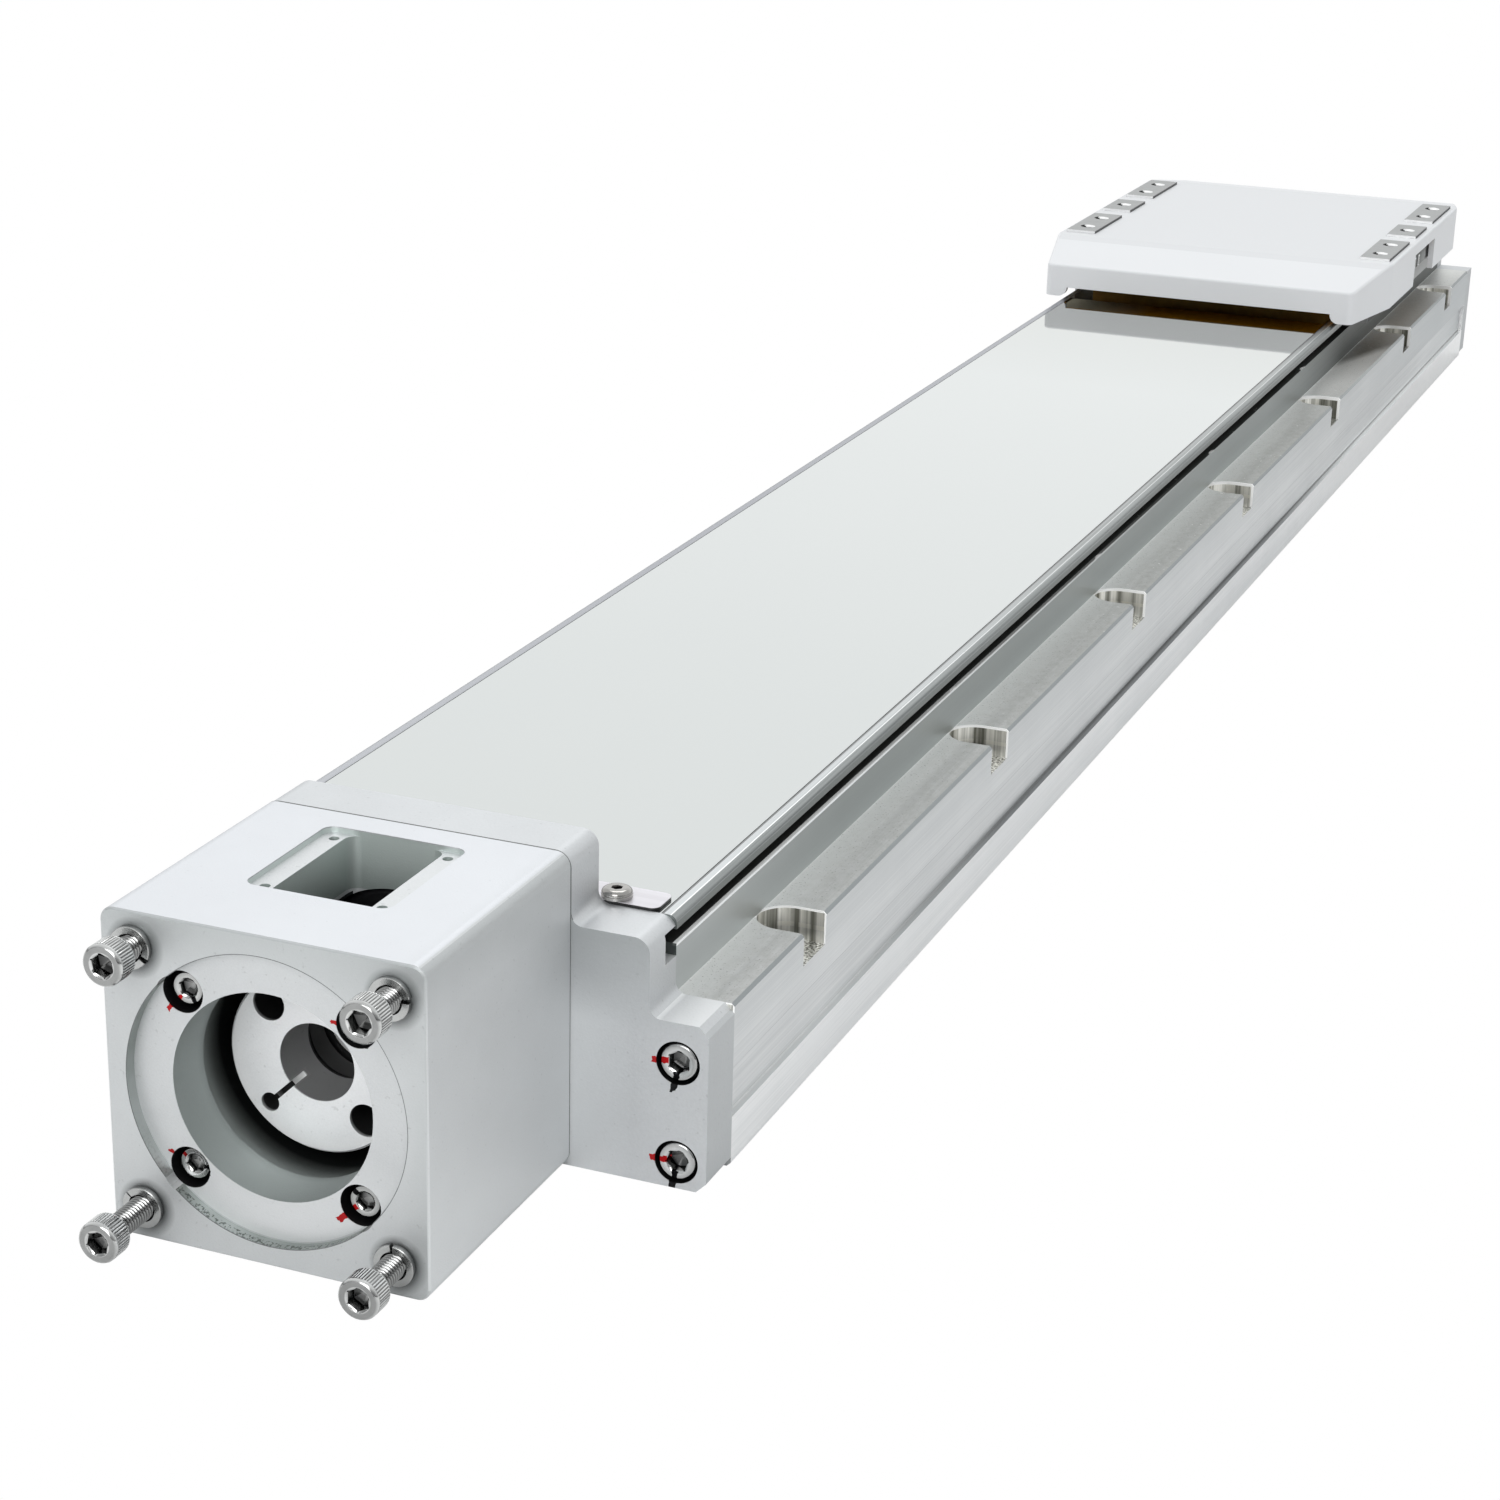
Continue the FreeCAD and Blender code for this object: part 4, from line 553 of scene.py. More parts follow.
def base_sides(m, f, tone):
    """Drawn streaks all over, then the outer sides with a bright foot and painted shade far back, and the
    darker guide walls with painted light near the front and a painted carriage shadow far back.
    """
    _, _, y, z = m.place()
    bright = m.mix(f.side, (0.78, 0.79, 0.795), (0.74, 0.75, 0.755))
    base = m.mix(tone, (0.56, 0.575, 0.585), bright)
    base = m.mix(f.foot, base, m.mix(tone, (0.76, 0.775, 0.785), (0.94, 0.945, 0.95)))
    base = m.mix(f.side * z.ramp(0.028, 0.042) * 0.30, base, (0.36, 0.385, 0.395))
    # Painted shade on the sides towards the far end
    upper_far = f.side * (z > BAND_TOP + 0.0002) * y.ramp(0.66, 0.82) * 0.60
    end_far = f.side * (z > BAND_FOOT + 0.0004) * y.ramp(0.80, 0.90) * 0.55
    base = m.mix(upper_far.high(end_far), base, (0.30, 0.33, 0.345))
    wall = m.mix(z.ramp(0.043, WALL_TOP), (0.34, 0.37, 0.37), (0.29, 0.315, 0.31))
    # Painted light on the guide walls near the front
    base = m.mix(f.guide_wall * 0.9, base, m.mix(y.ramp(0.06, -0.04), wall, (0.47, 0.495, 0.495)))
    # Painted shadow of the carriage on the guide walls far back
    return m.mix(f.guide_wall * y.ramp(0.54, 0.68) * 0.93, base, (0.035, 0.04, 0.037))


def flange_tops(m, f, base, lift):
    """The flange tops: mottled grey with painted shade that grows far back, lifted by painted light where
    they are bright, painted shade on the wall tops and the outer edge, with dark specks and bright chips.
    """
    _, _, y, z = m.place()
    # dull: painted shade that grows far back, with the tops' own mottle
    dull = y.ramp(-0.05, 0.45) * 0.26 + f.mottle * 0.24 + 0.40
    base = m.mix(dull * f.top, base, (0.34, 0.345, 0.325))
    # Painted light where lift is high
    base = m.mix(lift * 0.9, base, (0.95, 0.96, 0.94))
    # Painted shade on the wall tops under the ledges
    base = m.mix(f.top * (z > 0.05) * 0.85, base, (0.06, 0.065, 0.06))
    # Painted shade towards the outer edge
    base = m.mix(f.top * f.out.ramp(0.068, HALF) * 0.2, base, grey(0.20))
    speck = m.even_noise(1900, 1.0).ramp(0.66, 0.74)
    base = m.mix(speck * f.top * 0.6, base, (0.14, 0.14, 0.13))
    chip = m.even_noise(700, 1.0).ramp(0.74, 0.78) * y.ramp(0.1, 0.4)
    return m.mix(chip * f.top * 0.8, base, (0.95, 0.95, 0.93))


def top_lift(m, f):
    """Painted light on a flange top: along the inner side and far back, but not in the carriage's painted
    shadow, whose slanting edge moves back towards the outer side."""
    _, _, y, z = m.place()
    shadow = (y - 0.658 - (f.out - WALL) * 3.4).ramp(0.0, 0.02)
    lift = (f.out.ramp(0.0700, WALL) ** 1.3 * 0.85).high(y.ramp(0.56, 0.66)) * (1 - shadow)
    return (lift + shadow * y.ramp(0.71, 0.74) * 0.5) * f.top * (z < 0.05)


def base_lines(m, f, base):
    """The long lines, most of them painted light and shade: foot, upper edge, groove and step of the side
    band, wall lip and flange corner.
    """
    _, _, y, z = m.place()
    nx, _, nz = m.facing()
    base = m.mix(f.foot * f.mottle * y.ramp(0.3, 0.85) * 0.18, base, grey(0.30))
    # Painted light: the foot brighter far back
    base = m.mix(f.foot * y.ramp(0.50, 0.68) * 0.6, base, grey(1.0))
    # Painted shade: a dark line at the band's upper edge
    base = m.mix(f.upright * z.near(BAND_TOP, 0.00016) * 0.45, base, (0.20, 0.21, 0.22))
    # Painted shade in the groove, fainter near the front
    groove = f.upright * f.out.between(0.07, BAND_IN + 0.0005) * (z < BAND_FOOT + 0.0007)
    base = m.mix(groove * (y.ramp(0.03, 0.30) * 0.83 + 0.10), base, grey(0.12))
    # Painted highlight on the wall's lip
    base = m.mix(f.lip, base, (0.97, 0.98, 0.98))
    # Painted shade along the flange's outer top corner
    corner = (nz > 0.4) * (abs(nx) > 0.4) * (z > FLANGE_TOP - 0.0015) * (f.out > HALF - 0.0010)
    base = m.mix(corner * 0.8, base, (0.28, 0.30, 0.31))
    # The band's step: painted light near the front and far back, painted shade between
    tread = m.mix(y.ramp(0.02, 0.16), (0.66, 0.67, 0.67), (0.20, 0.205, 0.21))
    tread = m.mix(y.ramp(0.50, 0.66), tread, (0.95, 0.96, 0.96))
    return m.mix((nz > 0.5) * z.near(BAND_FOOT, 0.0003), base, tread)


def notch_brink(m, f):
    """A narrow painted highlight on the flange top round each notch: the distance from the notch's slot
    shape.
    """
    y = m.place()[2]
    last = y > LAST_NOTCH - 0.05
    along = y.wrapped(-NOTCH_PITCH / 2, NOTCH_PITCH / 2)
    along = along * (1 - last) + (y - LAST_NOTCH) * last
    reach = (f.out - NOTCH_CENTRE).low(0.0)
    gap = (reach * reach + along * along) ** 0.5 - NOTCH_HALF
    return (gap < f.rim_width * 0.8) * (along > -0.003) * f.top


def notch_cuts(m, f, base, rim, brink, thin):
    """The notches: walls with upright bright and dark stripes of painted reflection and a painted highlight
    across them, painted highlights on the rims, and a chipped floor.
    """
    z = m.place()[3]
    reflection_stripes = m.noise(300, 300, 0, 2.0, 0.6).ramp(0.42, 0.56)
    cut = m.mix(reflection_stripes * 0.75 + thin * 0.25, (0.11, 0.11, 0.085), (0.96, 0.95, 0.89))
    # Painted highlight across the walls
    cut = m.mix(z.near(0.0378, 0.0006) * reflection_stripes * 0.7, cut, (0.95, 0.93, 0.84))
    # Painted highlights on the rims and round the notches
    cut = m.mix(rim, cut, (0.97, 0.97, 0.96))
    base = m.mix(brink, base, (0.97, 0.97, 0.96))
    base = m.mix(f.notch_wall, base, cut)
    chips = m.even_noise(1300, 2.0, 0.6).ramp(0.42, 0.58)
    return m.mix(f.notch_floor, base, m.mix(chips, (0.13, 0.13, 0.12), (0.85, 0.85, 0.84)))


def base_metal(name):
    """The base: drawn aluminium with long streaks, worn flange tops with painted light and shade, milled
    notches bright with painted highlights, and ends darkened as painted shade.
    """
    m = Mat(name, Metallic=0.9)
    _, _, y, z = m.place()
    _, ny, _ = m.facing()
    f = base_faces(m)
    streak = m.noise(800, 5, 800, 3.0, 0.65)
    tone = m.noise(2600, 16, 2600, 2.0, 0.6) * 0.35 + streak * 0.30
    tone = tone + m.noise(110, 1.2, 110, 2.0, 0.6) * 0.15 + m.even_noise(24, 3.0, 0.6) * 0.20
    lift = top_lift(m, f)
    base = base_sides(m, f, tone.ramp(0.36, 0.64))
    base = flange_tops(m, f, base, lift)
    base = base_lines(m, f, base)
    thin = m.noise(2400, 2400, 20, 2.0, 0.6).ramp(0.3, 0.7)
    # Painted highlights along the notch walls' upper and outer edges
    rim = (z + f.rim_width > FLANGE_TOP).high(f.out + f.rim_width > HALF) * f.notch_wall
    brink = notch_brink(m, f)
    base = notch_cuts(m, f, base, rim, brink, thin)
    # Painted shade on the base's front end faces above the flange
    end = (ny < -0.9) * (y < BASE0 + 0.0005) * (z > FLANGE_TOP + 0.0005)
    base = m.mix(end, base, (0.09, 0.10, 0.097))
    # Painted shade: the hole walls below the notch floors near black
    hidden_hole = (z < NOTCH_FLOOR - 0.00025) * (abs(ny) > 0.05) * y.between(BASE0 + 0.001, BASE1 - 0.001)
    m.set("Base Color", m.mix(hidden_hole, base, grey(0.02)))
    rim = rim.high(brink)
    # Less metal on the painted highlights, on the notch walls and where light is painted on the tops
    dull = rim.high(f.lip) * 0.8 + (f.notch_wall * (1 - rim) * 0.4).high(lift) * 0.45
    m.set("Metallic", 0.9 - dull)
    milled = f.notch_wall.high(f.notch_floor)
    rough = (streak * 0.14 + 0.25) * (1 - milled) + milled * 0.30
    m.set("Roughness", rough + f.guide_wall * 0.08 + f.top * 0.12)
    m.bump(streak * (1 - milled) + thin * milled * 0.5, distance=0.00004, strength=0.5)
    return m.data


def ledge_metal(name):
    """The top cover: streaky grey ledges with a painted highlight on the rounded outer line, painted shade
    on the rounding, the sides and along the strip, painted greyer far back, and a plain lilac-grey ledge on
    the left."""
    m = Mat(name, Metallic=0.9)
    _, x, y, z = m.place()
    _, _, nz = m.facing()
    fine = m.noise(3200, 12, 3200, 2.0, 0.6)
    tone = (fine * 0.5 + m.noise(900, 4, 900, 2.0, 0.6) * 0.5).ramp(0.36, 0.64)
    # Painted shade: greyer towards the far end
    away = y.ramp(-0.02, 0.30)
    dark = m.mix(away, (0.54, 0.56, 0.57), (0.25, 0.26, 0.26))
    light = m.mix(away, (0.66, 0.68, 0.69), (0.40, 0.415, 0.415))
    base = m.mix(tone, dark, light)
    # Painted shade on the outer rounding
    base = m.mix(nz.between(0.2, 0.95), base, m.mix(tone, (0.20, 0.215, 0.215), (0.34, 0.355, 0.355)))
    # Painted highlight on the rounding's upper line
    base = m.mix(nz.between(0.945, 0.985), base, m.mix(away, (0.92, 0.93, 0.93), (0.62, 0.63, 0.63)))
    # Painted shade on the sides
    base = m.mix(nz < 0.2, base, (0.16, 0.175, 0.17))
    # Painted shade: a dark line along the strip's edge
    base = m.mix((abs(x) < 0.0567) * (z > 0.0610) * 0.8, base, grey(0.10))
    lilac = m.mix(y.ramp(0.0, 0.2), (0.41, 0.42, 0.45), (0.335, 0.342, 0.375))
    m.set("Base Color", m.mix((x < 0) * (nz > 0.2) * 0.9, base, lilac))
    m.set("Roughness", fine * 0.14 + 0.24)
    m.bump(fine, distance=0.00004, strength=0.5)
    return m.data


def clamp_metal(name):
    """Thin rolled plate: soft streaks on top, edges painted near black as shade."""
    m = Mat(name, Metallic=0.85, Roughness=0.34)
    nz = m.facing()[2]
    streak = m.noise(8, 800, 800, 3.0, 0.6)
    base = m.mix(streak.ramp(0.3, 0.7), (0.60, 0.585, 0.615), (0.68, 0.665, 0.70))
    # Painted shade: the edges near black
    m.set("Base Color", m.mix(nz < 0.6, base, grey(0.035)))
    m.set("Roughness", streak * 0.14 + 0.27)
    m.bump(streak, distance=0.00004, strength=0.4)
    return m.data


def lining_felt(name):
    """Brown felt without sheen, greyer towards its left end."""
    m = Mat(name, Roughness=0.7, Specular_IOR_Level=0.0)
    x = m.place()[1]
    cloud = m.even_noise(300, 3.0, 0.6)
    brown = m.mix(cloud.ramp(0.3, 0.7), (0.44, 0.195, 0.010), (0.58, 0.255, 0.013))
    m.set("Base Color", m.mix(x.ramp(-0.022, -0.050), brown, (0.58, 0.53, 0.42)))
    m.bump(cloud, distance=0.00006, strength=0.4)
    return m.data


def plain(name, colour, rough, metal=0.0):
    """Hidden pieces, with a slight variation: black oxide, rubber and the felt of the wipers."""
    m = Mat(name, Metallic=metal, Roughness=rough)
    cloud = m.even_noise(300, 3.0, 0.6)
    m.set("Base Color", m.mix(cloud.ramp(0.3, 0.7), darker(colour, 0.8), colour))
    m.bump(cloud, distance=0.00006, strength=0.4)
    return m.data


FINISHES = {
    "housing": blasted(
        "housing_blasted",
        (0.655, 0.67, 0.68),
        grain=2300,
        shading=housing_shading,
        paint=HOUSING_PAINT,
        seats=(HOUSING_SCREWS, 0.00515, PILOT_FLOOR),
    ),
    "block": blasted(
        "block_blasted",
        (0.62, 0.635, 0.65),
        grain=1500,
        shading=block_shading,
        paint=FLANGE_PAINT,
        seats=(FLANGE_SCREWS, 0.0056, BLOCK),
    ),
    "hub": blasted(
        "hub_turned",
        (0.93, 0.935, 0.95),
        grain=2600,
        shading=hub_shading,
        pits=0.12,
        metal=0.50,
    ),
    "extrusion": base_metal("extrusion_drawn"),
    "cover": ledge_metal("cover_drawn"),
    "table": table_metal("table_milled"),
    "clamp": clamp_metal("clamp_rolled"),
    "strip": strip_metal("strip_bright"),
    "stainless": steel("stainless", (0.76, 0.765, 0.76), rough=0.16, paint=FLANGE_PAINT),
    "washer": steel("washer_steel", (0.55, 0.555, 0.55), rough=0.22),
    "button": steel("button_steel", (0.40, 0.39, 0.375), rough=0.14),
    "recess_screw": steel("recess_screw_steel", (0.58, 0.585, 0.58), rough=0.18, paint=HOUSING_PAINT),
    "ground": steel("ground_steel", (0.58, 0.58, 0.59), rough=0.24),
    "oxide": plain("black_oxide", (0.016, 0.016, 0.018), rough=0.38, metal=0.6),
    "plastic": cover_plastic("white_plastic", (0.74, 0.75, 0.77)),
    "rubber": plain("black_rubber", grey(0.02), rough=0.75),
    "felt": plain("brown_felt", (0.45, 0.25, 0.055), rough=0.95),
    "liner": lining_felt("brown_liner"),
}

WORN_BY = {
    "housing": ["motor_housing"],
    "block": ["drive_end_block", "rear_end_block"],
    "extrusion": ["base_extrusion"],
    "cover": ["top_cover"],
    "table": ["carriage_table", "inner_slider"],
    "clamp": ["strip_clamp_front", "strip_clamp_rear"],
    "hub": ["coupling_hub_motor", "coupling_centre", "coupling_hub_screw"],
    "strip": ["cover_strip"],
    "stainless": [
        "motor_screws",
        "motor_spring_washers",
        "end_block_screws_front",
        "end_block_screws_rear",
        "strip_clamp_washers",
        "strip_clamp_screws",
        "coupling_disc_front",
        "coupling_disc_rear",
        "coupling_spacers",
    ],
    "recess_screw": ["housing_screws"],
    "ground": [
        "rail_left",
        "rail_right",
        "ball_screw",
        "ball_nut",
        "front_bearing_outer",
        "front_bearing_inner",
        "second_bearing_outer",
        "second_bearing_inner",
        "tail_bearing_outer",
        "tail_bearing_inner",
        "guide_block_front_left",
        "guide_block_front_right",
        "guide_block_rear_left",
        "guide_block_rear_right",
    ],
    "oxide": [
        "rail_screws",
        "coupling_bolts",
        "nut_screws",
        "wing_screws",
        "lock_nut",
        "bearing_cartridge",
        "bearing_retainer",
    ],
    "plastic": ["carriage_cover"],
    "rubber": ["stops_front", "stops_rear"],
    "felt": ["wiper_front", "wiper_rear"],
}
for finish, names in WORN_BY.items():
    for name in names:
        materials = NODES[name].data.materials
        materials.clear()
        materials.append(FINISHES[finish])

# Turned and threaded pieces in millimetres, each a grid of rows about an axis

SHARP = math.radians(32)
KNURLS = 45


def closed_rows(rows):
    """Vertices and faces of rows of points joined in order: a row of one point closes an end.

    rows is a list of (n, 3) arrays; every row but a closing one has the same n.
    """
    starts = np.cumsum([0] + [len(row) for row in rows])
    faces = []
    for k in range(len(rows) - 1):
        near, far = len(rows[k]), len(rows[k + 1])
        j = np.arange(max(near, far))
        i = (j + 1) % len(j)
        a = np.full(len(j), starts[k])
        b = np.full(len(j), starts[k + 1])
        if near == 1:
            corner_lists = (a, b + i, b + j)
        elif far == 1:
            corner_lists = (a + j, a + i, b)
        else:
            corner_lists = (a + j, a + i, b + i, b + j)
        faces += np.stack(corner_lists, axis=1).tolist()
    return np.concatenate(rows), faces


def shaded(rows):
    """closed_rows of (points, painted shade) pairs, with the painted shade of all points as a third array.
    """
    dark = np.concatenate([np.zeros(len(points)) + level for points, level in rows])
    return *closed_rows([points for points, level in rows]), dark


def about(radius, t, count):
    """A row of points (u, v, t) at one radius, or at radius(angle), about the axis."""
    angle = np.arange(count) * 2 * math.pi / count
    r = radius(angle) if callable(radius) else np.full(count, radius)
    return np.stack([r * np.cos(angle), r * np.sin(angle), np.full(count, t)], axis=1)


def tip(t):
    """One point on the axis."""
    return np.array([[0.0, 0.0, t]])


def hexed(flat, turn):
    """Radius of a hexagon: half its width across flats over the cosine of the angle from a flat's middle."""
    return lambda a: flat / np.cos(np.mod(a + turn, math.pi / 3) - math.pi / 6)


def laid(part, origin, way):
    """(u, v, t) in millimetres laid into the frame in metres: t runs along way, which is +Y, -Y or +Z."""
    points, faces, *dark = part
    axes = {
        "+y": ((1, 0, 0), (0, 0, 1), (0, 1, 0)),
        "-y": ((-1, 0, 0), (0, 0, 1), (0, -1, 0)),
        "+z": ((1, 0, 0), (0, 1, 0), (0, 0, 1)),
    }[way]
    return points * MM @ np.array(axes, dtype=float) + np.array(origin), faces, *dark


def make(name, parts, finish, body, replaced=()):
    """One mesh from several parts in metres, at the origin, carried by a body. Its shade attribute holds the
    painted shade of each point, 0 where a part gives none."""
    shades = []
    faces = []
    total = 0
    for points, part_faces, *dark in parts:
        faces.extend([k + total for k in face] for face in part_faces)
        shades.append(dark[0] if dark else np.zeros(len(points)))
        total += len(points)
    data = bpy.data.meshes.new(name)
    data.from_pydata(np.concatenate([part[0] for part in parts]).tolist(), [], faces)
    shade = data.attributes.new("shade", "FLOAT", "POINT")
    shade.data.foreach_set("value", np.concatenate(shades).astype(np.float32))
    work = bmesh.new()
    work.from_mesh(data)
    bmesh.ops.recalc_face_normals(work, faces=work.faces)
    work.to_mesh(data)
    work.free()
    data.shade_smooth()
    data.set_sharp_from_angle(angle=SHARP)
    data.materials.append(FINISHES[finish])
    piece = bpy.data.objects.new(name, data)
    bpy.context.scene.collection.objects.link(piece)
    if replaced:
        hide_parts(*replaced)
    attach(piece, body)


def socket_head(radius, high, flat, turn, ring=0.0, floor=0.75):
    """A socket head from its seat (t = 0) to its face (t = -high), with a straight knurl.

    Side radius = R - 0.16 |sin(KNURLS a / 2)| within the knurled band. The valleys and the socket get
    painted shade; ring is the painted shade of the face round the socket, floor that of the socket's bottom.
    """
    n = 360

    def ridge(a):
        return radius - 0.16 * np.abs(np.sin(KNURLS / 2 * a))

    face = -high
    bottom = face + high * 0.52
    mouth = flat / math.cos(math.pi / 6) + 0.12
    # Painted shade in the knurl's valleys
    valley = np.sin(KNURLS / 2 * np.arange(n) * 2 * math.pi / n) ** 2 * (0.85 if ring else 0.55)
    rows = [
        (tip(0.0), 0),
        (about(radius - 0.5, 0.0, n), 0),
        (about(radius - 0.22, -0.02, n), 0),
        (about(radius - 0.10, -0.25, n), 0),
        (about(ridge, -0.5, n), valley),
        (about(ridge, face + 1.25, n), valley),
        (about(radius - 0.08, face + 0.98, n), 0.35),
        (about(radius - 0.02, face + 0.66, n), 0),
        (about(radius - 0.22, face + 0.28, n), 0.15 if ring else 0.45),
        (about(radius - 0.62, face, n), max(ring, 0.3)),
        (about(mouth + 0.25, face, n), ring),
        (about(mouth, face + 0.06, n), 0),
        (about(hexed(flat, turn), face + 0.35, n), 0.25),
        (about(hexed(flat, turn), bottom, n), 0.93),
        (about(hexed(flat * 0.98, turn), bottom + 0.02, n), 0.93),
        (tip(bottom + flat * 0.5), floor),
    ]
    return shaded(rows)


def threaded(radius, pitch, start, length):
    """A threaded bar from t = start: radius = R - 0.55 p |2 frac(t/p + a/2pi) - 1| with cut crests, and
    valleys that run out in the last turns; painted shade darkens the whole bar, the valleys most."""
    n = 48
    depth = 0.55 * pitch
    angle = np.arange(n) * 2 * math.pi / n

    def fall(t, a):
        phase = np.mod(t / pitch + a / (2 * math.pi), 1.0)
        return np.clip(np.abs(2 * phase - 1) * 1.35 - 0.2, 0, 1)

    def row(t):
        fade = min(1.0, max(0.0, (length + start - t) / (1.2 * pitch)))
        run_out = (1 - fade) * depth * 0.8
        points = about(lambda a: radius - 0.02 - depth * fall(t, a) * fade - run_out, t, n)
        # Painted shade: the whole bar darker, the valleys most
        return points, fall(t, angle) ** 0.7 * 0.58 + 0.42

    steps = int(length / pitch * 8)
    places = [start + length * k / steps for k in range(steps + 1)]
    return shaded([(tip(start), 0)] + [row(t) for t in places] + [(tip(start + length), 0)])


def bar(radius, start, length):
    """A plain bar with closed ends."""
    n = 40
    end = start + length
    return closed_rows([tip(start), about(radius, start, n), about(radius, end, n), tip(end)])


def split_ring(inner, outer, thick, gap, at, rise):
    """A spring washer: a square-edged ring cut open at one angle, whose end is lifted by the rise.

    Each corner line is (r cos a, r sin a, t - rise s^2), with s from 0 to 1 round the ring.
    """
    n = 90
    s = np.linspace(0, 1, n)
    a = at + gap / 2 / outer + s * (2 * math.pi - gap / outer)
    b = 0.16
    corner_lines = (
        (inner + b, 0),
        (outer - b, 0),
        (outer, -b),
        (outer, -thick + b),
        (outer - b, -thick),
        (inner + b, -thick),
        (inner, -thick + b),
        (inner, -b),
    )
    lines = [np.stack([r * np.cos(a), r * np.sin(a), t - rise * s**2], axis=1) for r, t in corner_lines]
    # Painted shade on the corner lines, darkest along the inner edge
    dark = np.repeat((0.9, 0.6, 0.7, 0.25, 0.0, 0.0, 0.75, 0.95), n)
    count = len(corner_lines)
    j = np.arange(n - 1)
    faces = []
    for i in range(count):
        this = i * n + j
        other = (i + 1) % count * n + j
        faces += np.stack((this, this + 1, other + 1, other), axis=1).tolist()
    faces.append([i * n for i in range(count)])
    faces.append([i * n + n - 1 for i in range(count)])
    return np.concatenate(lines), faces, dark


def button(radius, high, flat, turn):
    """A button head: r falls along a quarter ellipse from the seat (t = 0) to the face (t = high)."""
    n = 120
    edge = 0.3
    face = radius * 0.60
    # The number with each row is painted shade: under the rim and in the socket
    rows = [(tip(0.0), 0), (about(radius - 0.12, 0.0, n), 0.4), (about(radius, 0.12, n), 0)]
    for k in range(1, 9):
        w = k / 8 * math.pi / 2
        spread = face + (radius - face) * math.cos(w)
        rows.append((about(spread, edge + (high - edge) * math.sin(w), n), 0))
    rows += [
        (about(hexed(flat + 0.08, turn), high - 0.02, n), 0),
        (about(hexed(flat, turn), high - 0.15, n), 0.5),
        (about(hexed(flat, turn), high - 1.35, n), 0.96),
        (tip(high - 1.6), 0.9),
    ]
    return shaded(rows)


def flat_ring(inner, outer, low, high):
    """A plain washer with softened rims: an eight-cornered loop carried round the axis."""
    n = 90
    b = 0.12
    loop = (
        (inner, low + b),
        (inner + b, low),
        (outer - b, low),
        (outer, low + b),
        (outer, high - b),
        (outer - b, high),
        (inner + b, high),
        (inner, high - b),
    )
    return closed_rows([about(r, t, n) for r, t in loop + loop[:1]])


def rounded(low, high, radius):
    """The outline of a rectangle with quarter circles for corners, counter-clockwise, as an (m, 2) array."""
    turn = np.linspace(0, math.pi / 2, 10)
    corner_places = ((high[0], high[1]), (low[0], high[1]), (low[0], low[1]), (high[0], low[1]))
    loops = []
    for k, (x, y) in enumerate(corner_places):
        a = turn + k * math.pi / 2
        cx = x + (-radius if k in (0, 3) else radius)
        cy = y + (-radius if k in (0, 1) else radius)
        loops.append(np.stack([cx + radius * np.cos(a), cy + radius * np.sin(a)], 1))
    return np.concatenate(loops)


def plate(half, start, length, levels, radius, soft):
    """A thin plate: a rounded rectangle carried from one level to the other, drawn in by soft at both."""
    bottom, top = levels
    rows = [np.array([[0.0, start + length / 2, bottom]])]
    for inset, z in ((soft, bottom), (0, bottom + soft), (0, top - soft), (soft, top)):
        low = (-half + inset, start + inset)
        high = (half - inset, start + length - inset)
        outline = rounded(low, high, radius - inset)
        rows.append(np.column_stack([outline, np.full(len(outline), z)]))
    rows.append(np.array([[0.0, start + length / 2, top]]))
    return closed_rows(rows)


# Motor screws and spring washers: side, height, gap under the head in millimetres, and the angles of the
# socket and of the washer's cut
MOTOR_SCREWS = {
    "tl": (-1, 1, 6.4, 0.35, -0.5),
    "tr": (1, 1, 8.6, 0.10, 0.1),
    "bl": (-1, -1, 13.9, 0.75, 2.4),
    "br": (1, -1, 11.8, 0.55, 1.65),
}
for tag, (side, up, gap, turn, cut) in MOTOR_SCREWS.items():
    cx = side * MOTOR_HOLE
    cz = AXIS + up * MOTOR_HOLE
    seat = (cx, FACE - gap * MM, cz)
    parts = [
        laid(socket_head(radius=5.0, high=6.0, flat=2.5, turn=turn, ring=0.5), seat, "+y"),
        laid(threaded(radius=3.0, pitch=1.0, start=-0.1, length=24.9), seat, "+y"),
    ]
    first = tag == "tl"
    replaced = ("motor_screws",) if first else ()
    make("motor_screw_" + tag, parts, "stainless", "frame", replaced)
    ring = split_ring(inner=3.25, outer=5.0, thick=1.55, gap=1.0, at=cut, rise=0.45)
    parts = [laid(ring, (cx, FACE, cz), "+y")]
    replaced = ("motor_spring_washers",) if first else ()
    make("spring_washer_" + tag, parts, "washer", "frame", replaced)

# Housing screws, each on the floor of its counterbore
parts = []
for k, (cx, cz) in enumerate(HOUSING_SCREWS):
    seat = (cx, SEAT_FLOOR, cz)
    head = socket_head(radius=4.2, high=3.5, flat=2.0, turn=0.3 + 0.5 * k, floor=0.3)
    parts.append(laid(head, seat, "+y"))
    parts.append(laid(bar(radius=2.45, start=-0.1, length=72.9), seat, "+y"))
make("housing_screw_set", parts, "recess_screw", "frame", ("housing_screws",))

# Flange screws of both end blocks
for where, y, way in (("front", BLOCK + 0.0064, "+y"), ("rear", BASE1 + 0.0036, "-y")):
    parts = []
    for k, (cx, cz) in enumerate(FLANGE_SCREWS):
        head = socket_head(radius=4.95, high=6.0, flat=2.5, turn=0.52 + 0.35 * k)
        parts.append(laid(head, (cx, y, cz), way))
        parts.append(laid(bar(radius=2.95, start=-0.1, length=24.0), (cx, y, cz), way))
    replaced = ("end_block_screws_" + where,)
    make("flange_screws_" + where, parts, "stainless", "frame", replaced)

